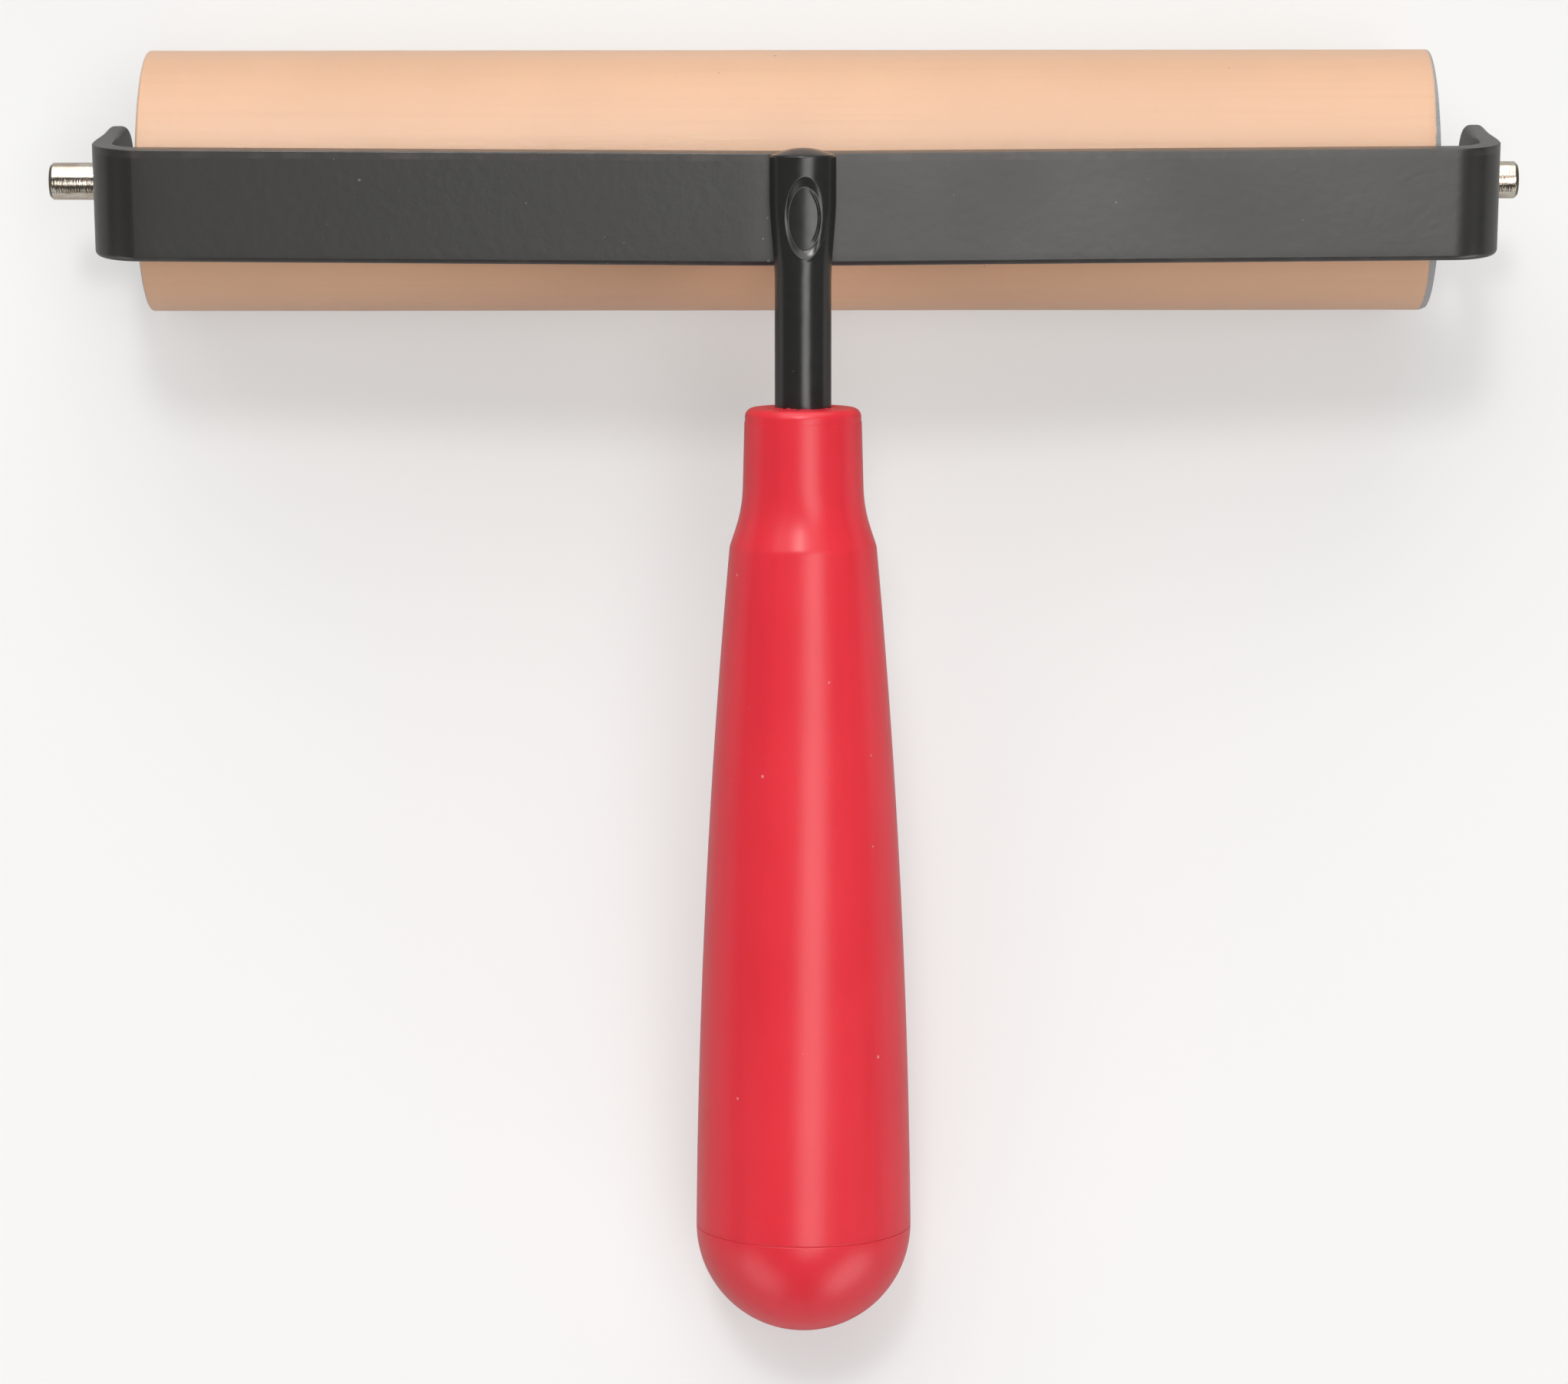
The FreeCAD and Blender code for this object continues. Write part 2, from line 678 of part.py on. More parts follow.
def rod(name, radius, low, high):
    """A cylinder about the Z axis from height low to height high."""
    cylinder = doc.addObject("Part::Cylinder", name)
    cylinder.setExpression("Radius", radius.text)
    cylinder.setExpression("Height", (high - low).text)
    cylinder.setExpression("Placement.Base.z", low.text)
    return cylinder


def joined(name, shapes):
    fused = doc.addObject("Part::Fuse", name)
    fused.Base, fused.Tool = shapes
    return fused


def tang_retainer():
    """The push-on lock washer that keeps the shank's tang in its socket."""
    return turned_body("tang_retainer", [
        (S["rod_radius"], S["socket_end"]),
        (S["retainer_radius"], S["socket_end"]),
        (S["retainer_radius"], S["socket_end"] + S["retainer_depth"]),
        (S["rod_radius"], S["socket_end"] + S["retainer_depth"]),
    ], HANDLE)


# ---------------------------------------------------------------- build, check and write

def faults(pieces):
    """Names every object that failed, and every piece with no sound shape."""
    bad = [f"{o.Name}: {o.State}" for o in doc.Objects if {"Invalid", "Error"} & set(o.State)]
    for piece in pieces:
        if piece.Shape.isNull() or not piece.Shape.isValid() or not piece.Shape.Solids:
            bad.append(f"{piece.Label}: no valid solid")
    return bad


pieces = [
    rubber_sleeve(),
    roller_core(),
    end_plug("left_end_plug", -1),
    end_plug("right_end_plug", 1),
    bush("left_bush", -1),
    bush("right_bush", 1),
    thrust_washer("left_thrust_washer", -1),
    thrust_washer("right_thrust_washer", 1),
    axle(),
    yoke(),
    shank(),
    handle_grip(),
    handle_cap(),
    tang_retainer(),
]
doc.recompute()
problems = faults(pieces)
if problems:
    raise RuntimeError("; ".join(problems))

os.makedirs("parts", exist_ok=True)
for piece in pieces:
    piece.Shape.exportStep(f"parts/{piece.Label}.step")
    box = piece.Shape.BoundBox
    print(f"{piece.Label}: {len(piece.Shape.Solids)} solid, {piece.Shape.Volume:.0f} mm3, "
          f"x {box.XMin:.1f} to {box.XMax:.1f}, y {box.YMin:.1f} to {box.YMax:.1f}, "
          f"z {box.ZMin:.1f} to {box.ZMax:.1f}")
print(f"rests at {REST_ANGLE:.2f} degrees")
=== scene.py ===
"""Rubber brayer, its looks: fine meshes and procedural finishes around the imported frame.

Blender works in metres, in the row frame: the origin is the centre of the roller, +X runs along
the roller, +Z is up from the table and the handle points towards -Y. The shapes are worked out in
millimetres in a local frame each, and MM turns them into metres.
"""
import math

import bmesh
import bpy
import numpy as np
from mathutils import Euler, Matrix, Vector, noise


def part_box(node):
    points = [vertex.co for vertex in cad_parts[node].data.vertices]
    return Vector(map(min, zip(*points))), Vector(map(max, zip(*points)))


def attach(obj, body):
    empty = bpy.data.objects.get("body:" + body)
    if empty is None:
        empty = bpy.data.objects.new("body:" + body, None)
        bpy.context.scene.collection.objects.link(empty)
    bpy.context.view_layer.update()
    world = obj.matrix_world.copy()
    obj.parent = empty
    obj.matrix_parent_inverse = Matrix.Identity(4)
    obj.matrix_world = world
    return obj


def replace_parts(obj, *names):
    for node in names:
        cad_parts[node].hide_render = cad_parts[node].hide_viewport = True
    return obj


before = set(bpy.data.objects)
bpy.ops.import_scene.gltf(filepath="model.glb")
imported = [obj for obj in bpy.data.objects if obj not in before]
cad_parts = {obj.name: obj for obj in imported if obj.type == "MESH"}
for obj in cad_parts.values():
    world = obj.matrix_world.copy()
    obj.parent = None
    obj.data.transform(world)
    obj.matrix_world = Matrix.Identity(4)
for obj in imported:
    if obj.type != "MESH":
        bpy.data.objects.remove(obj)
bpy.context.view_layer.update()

MM = 0.001


def box_mm(node):
    low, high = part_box(node)
    return low / MM, high / MM


# ---------------------------------------------------------------- sizes, in millimetres

_, sleeve_high = box_mm("rubber_sleeve")
_, core_high = box_mm("roller_core")
plug_low, plug_high = box_mm("right_end_plug")
bush_low, bush_high = box_mm("right_bush")
washer_low, washer_high = box_mm("right_thrust_washer")
axle_low, axle_high = box_mm("axle")
yoke_low, yoke_high = box_mm("yoke")
cap_low, cap_high = box_mm("handle_cap")

# the roller: its left rim is rounded and its right rim is cut to an uneven bevel
HALF_ROLLER = sleeve_high.x
ROLLER_RADIUS = sleeve_high.z
CORE_RADIUS = core_high.z
TABLE = -ROLLER_RADIUS
RIM_ROUNDING = 0.5
CUT_DRAWN = 1.0
CUT_START = HALF_ROLLER - CUT_DRAWN
CUT_LEAST = 0.3
CUT_MOST = 1.1
CUT_SLOPE = 0.35
SWELL_SIZE = 9.0
SWELL_DEPTH = 0.03

# what closes the roller and runs on the axle
CORE_BORE = plug_high.z
PLUG_WALL = 2.2
HUB_RADIUS = 6.6
BOSS_RADIUS = 5.4
BUSH_RADIUS = 4.5
FLANGE_RADIUS = bush_high.z
FLANGE_DEPTH = 1.0
SMALL_ROUNDING = 0.3

# the axle, thinner outside the arms
AXLE_RADIUS = axle_high.z
AXLE_END_RADIUS = 2.95
AXLE_CHAMFER = 0.5
CHAMFER_ROUNDING = 0.15
BUSH_BORE = AXLE_RADIUS + 0.05
WASHER_BORE = AXLE_RADIUS + 0.15

# the strap: it bows up to a flat under the shank; its edge towards the handle is the near one
ARM_OUTSIDE = (yoke_high.x - yoke_low.x) / 2
FRAME_OFFSET = (yoke_high.x + yoke_low.x) / 2
STRAP_WIDTH = 17.5
STRAP_DEPTH = 3.2
STRAP_REACH = 25.4
STRAP_BOW = 4.8
STRAP_FLAT = 12.0
NEAR_EDGE = 0.85
FAR_EDGE = 0.2
ARM_EDGE = 1.1
ARM_EDGE_FROM = 14.0
ARM_EDGE_TO = 26.0
BEND_RADIUS = 8.0
BOW_BLEND_RADIUS = 40.0

# how far apart the strap's rows of mesh are: in bends, round the holes and elsewhere
BEND_ROWS = 0.5
HOLE_ROWS = 1.25
PLAIN_ROWS = 2.5
BEND_AHEAD = 0.8
LEAST_BEND = 0.01

# the shank: round, with a flattened tip across the strap and a tang in the handle
SHANK_OFFSET = 1.0
ROD_RADIUS = 4.35
SPLAY = math.radians(7.2)
TIP_HALF_WIDTH = 5.1
TIP_HALF_HEIGHT = 4.0
TIP_DOME = 1.2
TIP_FULL = 6.0
TIP_BLEND = 2.0
TIP_RIM = 0.25
SHANK_GAP = 20.9
TANG_END = SHANK_GAP + 84.0
TANG_CHAMFER = 0.6
FINE_ROWS = 0.12
FINE_ROWS_END = 1.0
COARSE_ROWS = 2.0

# the oval pressing mark on the tip; places across it are shares of its half width and length
MARK_HALF_WIDTH = 3.1
MARK_HALF_LENGTH = 6.2
MARK_DEPTH = 0.45
MARK_AT = 8.3
MARK_RIGHT = 0.3
MARK_TILT = 0.22
MARK_BOWL = 0.5
MARK_FLOOR = 0.82
MARK_FLOOR_CUT_FAR = 0.08
MARK_FLOOR_CUT_RIGHT = 0.04
RIDGE_HEIGHT = 0.15
RIDGE_AT = 0.70
RIDGE_WIDTH = 0.05
LIP_HEIGHT = 0.05
LIP_AT = 1.03
LIP_WIDTH = 0.04

# the handle: places along it are counted from its mouth
NECK_LENGTH = 15.6
MOUTH_RADIUS = 9.0
MOUTH_ROUNDING = 1.4
MOUTH_LINE = 2.15
MOUTH_STEP = 0.04
FLASH_WIDTH = 0.3
FLASH_HEIGHT = 0.3
FLASH_GRAIN = 1.6
NECK_RADIUS = 9.4
NECK_ROUNDING = 22.0
SHOULDER_AT = 21.4
SHOULDER_RADIUS = 11.35
SHOULDER_ROUNDING = 4.0
BELLY_RADIUS = 1330.0
BUTT_AT = 128.1
BUTT_RADIUS = (cap_high.x - cap_low.x) / 2
SPIGOT_RADIUS = 14.3
SPIGOT_LENGTH = 6.5
SPIGOT_WALL = 1.6
SPIGOT_GAP = 0.5
SPIGOT_ROUNDING = 0.4
CAP_WALL = 3.0
CAVITY_AT = 30.0
CAVITY_RADIUS = 8.9
SOCKET_RADIUS = 6.6
SOCKET_END = 78.0
SEAM_ROUNDING = 0.18


# ---------------------------------------------------------------- local frames

def turn_x(angle):
    return Matrix.Rotation(angle, 4, "X")


half_strap = STRAP_WIDTH / 2
strap_top = STRAP_REACH + STRAP_BOW
shank_start = Vector((SHANK_OFFSET, -half_strap, strap_top + ROD_RADIUS))
shank_run = Vector((0, -math.cos(SPLAY), math.sin(SPLAY)))

# the ball of the butt is known in the strap's frame and in the frame's box, which gives the tilt
ball = shank_start + shank_run * (SHANK_GAP + BUTT_AT)
ball_at_rest = Vector((0, cap_low.y + BUTT_RADIUS, TABLE + BUTT_RADIUS))
REST_ANGLE = math.atan2(ball.z, -ball.y) - math.atan2(ball_at_rest.z, -ball_at_rest.y)

STRAP = turn_x(REST_ANGLE) @ Matrix.Translation((FRAME_OFFSET, 0, 0))
# on the shank Z runs along it towards the handle and +Y faces away from the strap
shank_up = Vector((0, math.sin(SPLAY), math.cos(SPLAY)))
shank_axes = Matrix((Vector((1, 0, 0)), shank_up, shank_run)).transposed().to_4x4()
SHANK = STRAP @ Matrix.Translation(shank_start) @ shank_axes
HANDLE = SHANK @ Matrix.Translation((0, 0, SHANK_GAP))
RIGHT_AXLE = Matrix.Rotation(math.pi / 2, 4, "Y")
LEFT_AXLE = Matrix.Rotation(-math.pi / 2, 4, "Y")


# ---------------------------------------------------------------- mesh helpers

def smooth_step(low, high, value):
    t = np.clip((value - low) / (high - low), 0, 1)
    return t * t * (3 - 2 * t)


def rounded(corners, closed=True, step=math.radians(12)):
    """A polyline with its corners rounded. A corner is (a, b) or (a, b, radius)."""
    places = [np.array(corner[:2], float) for corner in corners]
    points = []
    for i, corner in enumerate(corners):
        at_end = not closed and i in (0, len(corners) - 1)
        if len(corner) < 3 or at_end:
            points.append(places[i])
            continue
        before = places[i - 1] - places[i]
        after = places[(i + 1) % len(corners)] - places[i]
        before = before / np.linalg.norm(before)
        after = after / np.linalg.norm(after)
        half = math.acos(np.clip(before @ after, -1, 1)) / 2
        centre = places[i] + (before + after) / np.linalg.norm(before + after) * (
            corner[2] / math.sin(half))
        start = places[i] + before * (corner[2] / math.tan(half)) - centre
        end = places[i] + after * (corner[2] / math.tan(half)) - centre
        sweep = math.pi - 2 * half
        steps = max(2, math.ceil(sweep / step))
        for k in range(steps + 1):
            t = k / steps
            arm = (math.sin((1 - t) * sweep) * start + math.sin(t * sweep) * end) / math.sin(sweep)
            points.append(centre + arm)
    return np.array(points)


def subdivided(points, longest, closed=True):
    """The polyline with every stretch longer than this cut into equal parts."""
    made = []
    count = len(points) if closed else len(points) - 1
    for i in range(count):
        start, end = points[i], points[(i + 1) % len(points)]
        parts = max(1, math.ceil(np.linalg.norm(end - start) / longest))
        made += [start + (end - start) * (k / parts) for k in range(parts)]
    if not closed:
        made.append(points[-1])
    return np.array(made)


def turned(profile, segments):
    """Rings of a closed profile of (radius, along) points turned about Z: rows, columns, xyz."""
    angle = np.linspace(0, 2 * math.pi, segments, endpoint=False)
    radius, along = profile[:, 0:1], profile[:, 1:2]
    x = radius * np.cos(angle)
    y = radius * np.sin(angle)
    return np.stack([x, y, np.broadcast_to(along, x.shape)], axis=2)


def skin(rings, closed_rows=True):
    """Vertices and quads over rings of points; each ring is closed, and the rows may be too."""
    rows, columns = rings.shape[:2]
    grid = np.arange(rows * columns).reshape(rows, columns)
    across = np.roll(grid, -1, axis=1)
    if closed_rows:
        below, below_across = np.roll(grid, -1, axis=0), np.roll(across, -1, axis=0)
    else:
        grid, below = grid[:-1], grid[1:]
        across, below_across = across[:-1], across[1:]
    faces = np.stack([grid, across, below_across, below], axis=2).reshape(-1, 4)
    return rings.reshape(-1, 3), faces.tolist()


def new_piece(name, vertices, faces, place, body, finish, sharp=40.0):
    """A mesh piece from millimetre vertices in a local frame, riding on a CAD body."""
    mesh = bpy.data.meshes.new(name)
    mesh.from_pydata([tuple(v) for v in vertices], [], faces)
    mesh.transform(Matrix.Scale(MM, 4) @ place)
    clean = bmesh.new()
    clean.from_mesh(mesh)
    bmesh.ops.remove_doubles(clean, verts=clean.verts, dist=MM * 1e-4)
    bmesh.ops.dissolve_degenerate(clean, edges=clean.edges, dist=MM * 1e-4)
    bmesh.ops.recalc_face_normals(clean, faces=clean.faces)
    clean.to_mesh(mesh)
    clean.free()
    mesh.shade_smooth()
    mesh.set_sharp_from_angle(angle=math.radians(sharp))
    mark_edges(mesh)
    piece = bpy.data.objects.new(name, mesh)
    bpy.context.scene.collection.objects.link(piece)
    mesh.materials.append(finish)
    even = piece.modifiers.new("even_shading", "WEIGHTED_NORMAL")
    even.keep_sharp = True
    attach(piece, body)
    return piece


def mark_edges(mesh):
    """Stores how sharply each point stands out, 1/mm, for the wear in the finishes."""
    count = len(mesh.vertices)
    place = np.zeros(count * 3, np.float32)
    normal = np.zeros(count * 3, np.float32)
    ends = np.zeros(len(mesh.edges) * 2, np.int32)
    mesh.vertices.foreach_get("co", place)
    mesh.vertex_normals.foreach_get("vector", normal)
    mesh.edges.foreach_get("vertices", ends)
    place, normal, ends = place.reshape(-1, 3), normal.reshape(-1, 3), ends.reshape(-1, 2)
    gap = place[ends[:, 1]] - place[ends[:, 0]]
    turn = normal[ends[:, 1]] - normal[ends[:, 0]]
    bend = MM * (gap * turn).sum(1) / np.maximum((gap * gap).sum(1), 1e-12)
    most = np.zeros(count)
    np.maximum.at(most, ends[:, 0], bend)
    np.maximum.at(most, ends[:, 1], bend)
    attribute = mesh.attributes.new("edge", "FLOAT", "POINT")
    attribute.data.foreach_set("value", np.clip(most, 0, 4).astype(np.float32))


def roughened(points, size, depth, seed):
    """Adds smooth noise along each point's direction from the Z axis, size apart, depth high."""
    made = points.copy()
    for i, (x, y, z) in enumerate(points):
        reach = math.hypot(x, y)
        if reach > 0:
            push = depth * noise.noise(Vector((x + seed, y, z)) / size) / reach
            made[i, 0] += x * push
            made[i, 1] += y * push
    return made


# ---------------------------------------------------------------- finishes

class Nodes:
    """A node tree with short ways to add and join nodes."""

    def __init__(self, tree):
        self.tree = tree

    def node(self, kind, inputs=None, **settings):
        made = self.tree.nodes.new(kind)
        for key, value in settings.items():
            setattr(made, key, value)
        for key, value in (inputs or {}).items():
            self.put(made.inputs[key], value)
        return made

    def put(self, socket, value):
        if isinstance(value, bpy.types.NodeSocket):
            self.tree.links.new(value, socket)
        else:
            socket.default_value = value

    def between(self, value, low, high, start=0.0, end=1.0):
        """The value's place between low and high, as a number from start to end."""
        inputs = {"Value": value, "From Min": low, "From Max": high, "To Min": start, "To Max": end}
        return self.node("ShaderNodeMapRange", inputs, interpolation_type="SMOOTHSTEP").outputs[0]

    def maths(self, operation, first, second=0.0):
        return self.node("ShaderNodeMath", {0: first, 1: second}, operation=operation).outputs[0]

    def parts(self, vector):
        return self.node("ShaderNodeSeparateXYZ", {0: vector}).outputs


class Finish(Nodes):
    """A material's node tree. Lengths are in metres."""

    def __init__(self, name):
        self.material = bpy.data.materials.new(name)
        self.material.use_nodes = True
        super().__init__(self.material.node_tree)
        self.surface = self.tree.nodes["Principled BSDF"]
        self.spot = self.node("ShaderNodeTexCoord").outputs["Object"]

    def set(self, **values):
        for key, value in values.items():
            self.put(self.surface.inputs[key.replace("_", " ")], value)

    def placed(self, scale, turn=0.0):
        """The point on the piece, turned about X and then scaled along each axis."""
        turned_spot = self.node("ShaderNodeMapping", {"Vector": self.spot, "Rotation": (turn, 0, 0)})
        return self.node("ShaderNodeMapping", {"Vector": turned_spot.outputs[0], "Scale": scale}).outputs[0]

    def grain(self, size, detail=3.0, stretch=(1, 1, 1), turn=0.0, seed=0.0):
        """Noise from 0 to 1 whose features are size metres across, times stretch along each axis."""
        scale = tuple(1 / (size * s) for s in stretch)
        inputs = {"Vector": self.placed(scale, turn), "Scale": 1.0, "Detail": detail, "W": seed}
        return self.node("ShaderNodeTexNoise", inputs, noise_dimensions="4D").outputs["Fac"]

    def mixed(self, share, first, second):
        """Two colours mixed by a share from 0 to 1."""
        made = self.node("ShaderNodeMix", data_type="RGBA")
        self.put(made.inputs[0], share)
        self.put(made.inputs[6], colour(first))
        self.put(made.inputs[7], colour(second))
        return made.outputs[2]

    def edge(self, low, high):
        """0 on flat stretches and 1 on edges that stand out more sharply than high, 1/mm."""
        made = self.node("ShaderNodeAttribute", attribute_name="edge")
        return self.between(made.outputs["Fac"], low, high)

    def facing(self, axis):
        """How far the surface faces along an axis of the row frame, from -1 to 1."""
        normal = self.node("ShaderNodeTexCoord").outputs["Normal"]
        return self.parts(normal)[axis]

    def specks(self, spacing, size, share):
        """1 inside small scattered spots, a share of cells spacing apart having one."""
        inputs = {"Vector": self.spot, "Scale": 1 / spacing}
        cells = self.node("ShaderNodeTexVoronoi", inputs)
        chance = self.node("ShaderNodeSeparateColor", {0: cells.outputs["Color"]})
        reach = self.maths("MULTIPLY", chance.outputs[0], size / spacing)
        inside = self.maths("LESS_THAN", cells.outputs["Distance"], reach)
        chosen = self.maths("LESS_THAN", chance.outputs[1], share)
        return self.maths("MULTIPLY", inside, chosen)

    def bump(self, *layers):
        """Stacks bumps, each a (height, depth in metres) pair, onto the surface's normal."""
        normal = None
        for height, depth in layers:
            inputs = {"Height": height, "Strength": 1.0, "Distance": depth}
            if normal is not None:
                inputs["Normal"] = normal
            normal = self.node("ShaderNodeBump", inputs).outputs[0]
        self.put(self.surface.inputs["Normal"], normal)


def colour(value):
    return value if isinstance(value, bpy.types.NodeSocket) else (*value, 1.0)


def gum_rubber():
    """Tan rubber, ground smooth: fine streaks along the roller, dark specks, grey cut ends."""
    f = Finish("gum_rubber")
    cloud = f.grain(0.030, detail=4.0)
    streak = f.grain(0.0012, detail=4.0, stretch=(60, 1, 1), seed=2.0)
    fine = f.grain(0.0003, detail=2.0, stretch=(4, 1, 1), seed=5.0)
    base = f.mixed(f.between(cloud, 0.3, 0.7), (0.745, 0.432, 0.250), (0.79, 0.458, 0.268))
    base = f.mixed(f.between(streak, 0.45, 0.75, 0.0, 0.3), base, (0.70, 0.39, 0.225))
    large = f.specks(0.012, 0.00035, 0.5)
    small = f.specks(0.0035, 0.00016, 0.4)
    spots = f.maths("MAXIMUM", large, small)
    base = f.mixed(f.maths("MULTIPLY", spots, 0.6), base, (0.16, 0.09, 0.06))
    right_cut = f.between(f.facing(0), 0.12, 0.26)
    left_cut = f.between(f.facing(0), -0.6, -0.9)
    cut = f.maths("MAXIMUM", right_cut, left_cut)
    saw = f.grain(0.0006, detail=5.0, seed=9.0)
    cut_tone = f.mixed(saw, (0.25, 0.25, 0.26), (0.40, 0.40, 0.41))
    f.set(Base_Color=f.mixed(cut, base, cut_tone),
          Roughness=f.between(fine, 0.2, 0.8, 0.42, 0.56),
          Subsurface_Weight=0.12,
          Subsurface_Radius=(1.0, 0.45, 0.2),
          Subsurface_Scale=0.0015,
          Specular_IOR_Level=1.0,
          Sheen_Weight=0.25,
          Sheen_Roughness=0.5,
          Coat_Weight=0.3,
          Coat_Roughness=0.45)
    f.bump((streak, 0.00003), (fine, 0.00002), (f.maths("MULTIPLY", saw, cut), 0.00015))
    return f.material


def black_coat():
    """Satin black paint on the strap: faint orange peel, dust, edges rubbed lighter."""
    f = Finish("black_coat")
    peel = f.grain(0.0016, detail=2.0)
    fine = f.grain(0.0003, detail=3.0, seed=3.0)
    cloud = f.grain(0.025, detail=3.0, seed=1.0)
    patch = f.grain(0.004, detail=4.0, seed=6.0)
    rubbed = f.maths("MULTIPLY", f.edge(0.75, 1.3), f.between(patch, 0.45, 0.7, 0.1, 0.6))
    base = f.mixed(cloud, (0.018, 0.0177, 0.0165), (0.023, 0.0225, 0.021))
    dust = f.specks(0.003, 0.00022, 0.35)
    base = f.mixed(f.maths("MULTIPLY", dust, 0.5), base, (0.25, 0.24, 0.22))
    f.set(Base_Color=f.mixed(rubbed, base, (0.065, 0.055, 0.048)),
          Roughness=f.between(cloud, 0.2, 0.8, 0.29, 0.36),
          Specular_IOR_Level=0.85)
    f.bump((peel, 0.00002), (fine, 0.000006))
    return f.material


def shank_coat():
    """The same black on the shank, dipped thicker and glossier, worn brown at the tip's rim."""
    f = Finish("shank_coat")
    peel = f.grain(0.0010, detail=2.0, seed=4.0)
    ripple = f.grain(0.004, detail=1.0, seed=8.0)
    patch = f.grain(0.002, detail=4.0, seed=2.0)
    far_end = (SHANK @ Vector((0, 0, -STRAP_WIDTH / math.cos(SPLAY)))).y * MM
    at_end = f.between(f.parts(f.spot)[1], far_end - 0.0006, far_end - 0.0001)
    rubbed = f.maths("MULTIPLY", at_end, f.between(patch, 0.3, 0.6, 0.35, 0.9))
    dust = f.specks(0.002, 0.00018, 0.3)
    base = f.mixed(patch, (0.021, 0.021, 0.021), (0.025, 0.025, 0.0245))
    base = f.mixed(f.maths("MULTIPLY", dust, 0.4), base, (0.3, 0.29, 0.27))
    f.set(Base_Color=f.mixed(rubbed, base, (0.11, 0.068, 0.048)),
          Roughness=f.between(patch, 0.2, 0.8, 0.2, 0.27),
          Specular_IOR_Level=0.6)
    f.bump((ripple, 0.00004), (peel, 0.000006))
    return f.material


def red_plastic():
    """Moulded red plastic: soft gloss, faint flow marks along the handle, fine scuffs and dust."""
    f = Finish("red_plastic")
    lean = -(REST_ANGLE - SPLAY)
    cloud = f.grain(0.02, detail=3.0)
    flow = f.grain(0.003, detail=3.0, stretch=(1, 14, 1), turn=lean, seed=1.0)
    peel = f.grain(0.0012, detail=2.0, seed=5.0)
    scuff = f.grain(0.0004, detail=2.0, stretch=(1, 12, 1), turn=lean + 0.5, seed=7.0)
    base = f.mixed(f.between(cloud, 0.3, 0.7), (0.83, 0.035, 0.056), (0.87, 0.040, 0.062))
    base = f.mixed(f.between(flow, 0.45, 0.8, 0.0, 0.3), base, (0.69, 0.026, 0.042))
    dust = f.specks(0.0035, 0.0003, 0.3)
    base = f.mixed(f.maths("MULTIPLY", dust, 0.45), base, (0.9, 0.55, 0.55))
    f.set(Base_Color=base,
          Roughness=f.between(scuff, 0.55, 0.75, 0.30, 0.38),
          Subsurface_Weight=0.2,
          Subsurface_Radius=(1.0, 0.12, 0.1),
          Subsurface_Scale=0.002)
    f.bump((flow, 0.00003), (peel, 0.000006))
    return f.material


def axle_steel():
    """Bright plated steel: turning marks round the rod, warm blotches in the plating, painted shade on the
    chamfers and end faces.
    """
    f = Finish("axle_steel")
    marks = f.grain(0.00022, detail=4.0, stretch=(1, 9, 9))
    blotch = f.grain(0.0011, detail=5.0, stretch=(2.5, 1, 1), seed=3.0)
    base = f.mixed(f.between(blotch, 0.35, 0.65), (0.86, 0.80, 0.70), (0.66, 0.56, 0.45))
    # painted shade: the chamfers and end faces are darkened in colour to stand in for the dark the steel
    # reflects there
    end = f.between(f.maths("ABSOLUTE", f.facing(0)), 0.35, 0.7, 0.0, 0.9)
    f.set(Base_Color=f.mixed(end, base, (0.11, 0.09, 0.075)),
          Metallic=1.0,
          Roughness=f.between(blotch, 0.3, 0.7, 0.07, 0.20))
    f.bump((marks, 0.00005), (blotch, 0.00006))
    return f.material


def turned_metal(name, light, dark, roughness):
    """Bare metal with fine marks round the axle."""
    f = Finish(name)
    marks = f.grain(0.0003, detail=4.0, stretch=(1, 12, 12))
    blotch = f.grain(0.003, detail=4.0, seed=3.0)
    bright_edge = f.maths("MULTIPLY", f.edge(1.0, 3.0), 0.5)
    base = f.mixed(blotch, light, dark)
    f.set(Base_Color=f.mixed(bright_edge, base, light),
          Metallic=1.0,
          Roughness=f.between(blotch, 0.2, 0.8, roughness, roughness + 0.15))
    f.bump((marks, 0.00002))
    return f.material


def moulded_plastic(name, light, dark, roughness):
    """Plain moulded plastic with a fine matt grain and a little grime."""
    f = Finish(name)
    fine = f.grain(0.0004, detail=3.0)
    grime = f.grain(0.005, detail=5.0, seed=2.0)
    f.set(Base_Color=f.mixed(f.between(grime, 0.45, 0.75), light, dark),
          Roughness=f.between(fine, 0.2, 0.8, roughness, roughness + 0.12),
          Subsurface_Weight=0.1,
          Subsurface_Scale=0.001)
    f.bump((fine, 0.000015))
    return f.material


# ---------------------------------------------------------------- the roller

def rubber_sleeve():
    """The rubber cover: softly rounded left rim, sharper ragged cut rim on the right."""
    cut = [(ROLLER_RADIUS - share * CUT_SLOPE, CUT_START + share * CUT_DRAWN)
           for share in (0.0, 0.25, 0.5, 0.75, 1.0)]
    corners = [
        (CORE_RADIUS, -HALF_ROLLER),
        (ROLLER_RADIUS, -HALF_ROLLER, RIM_ROUNDING),
        (ROLLER_RADIUS, CUT_START - 1),
        *cut,
        (CORE_RADIUS, HALF_ROLLER),
    ]
    profile = subdivided(rounded(corners), longest=2.0)
    vertices, faces = skin(turned(profile, segments=720))
    vertices = trimmed(vertices)
    outer = np.hypot(vertices[:, 0], vertices[:, 1]) > CORE_RADIUS + 1
    vertices[outer] = roughened(vertices[outer], SWELL_SIZE, SWELL_DEPTH, seed=3.0)
    return new_piece("rubber_sleeve_skin", vertices, faces, RIGHT_AXLE, "roller",
                     gum_rubber())


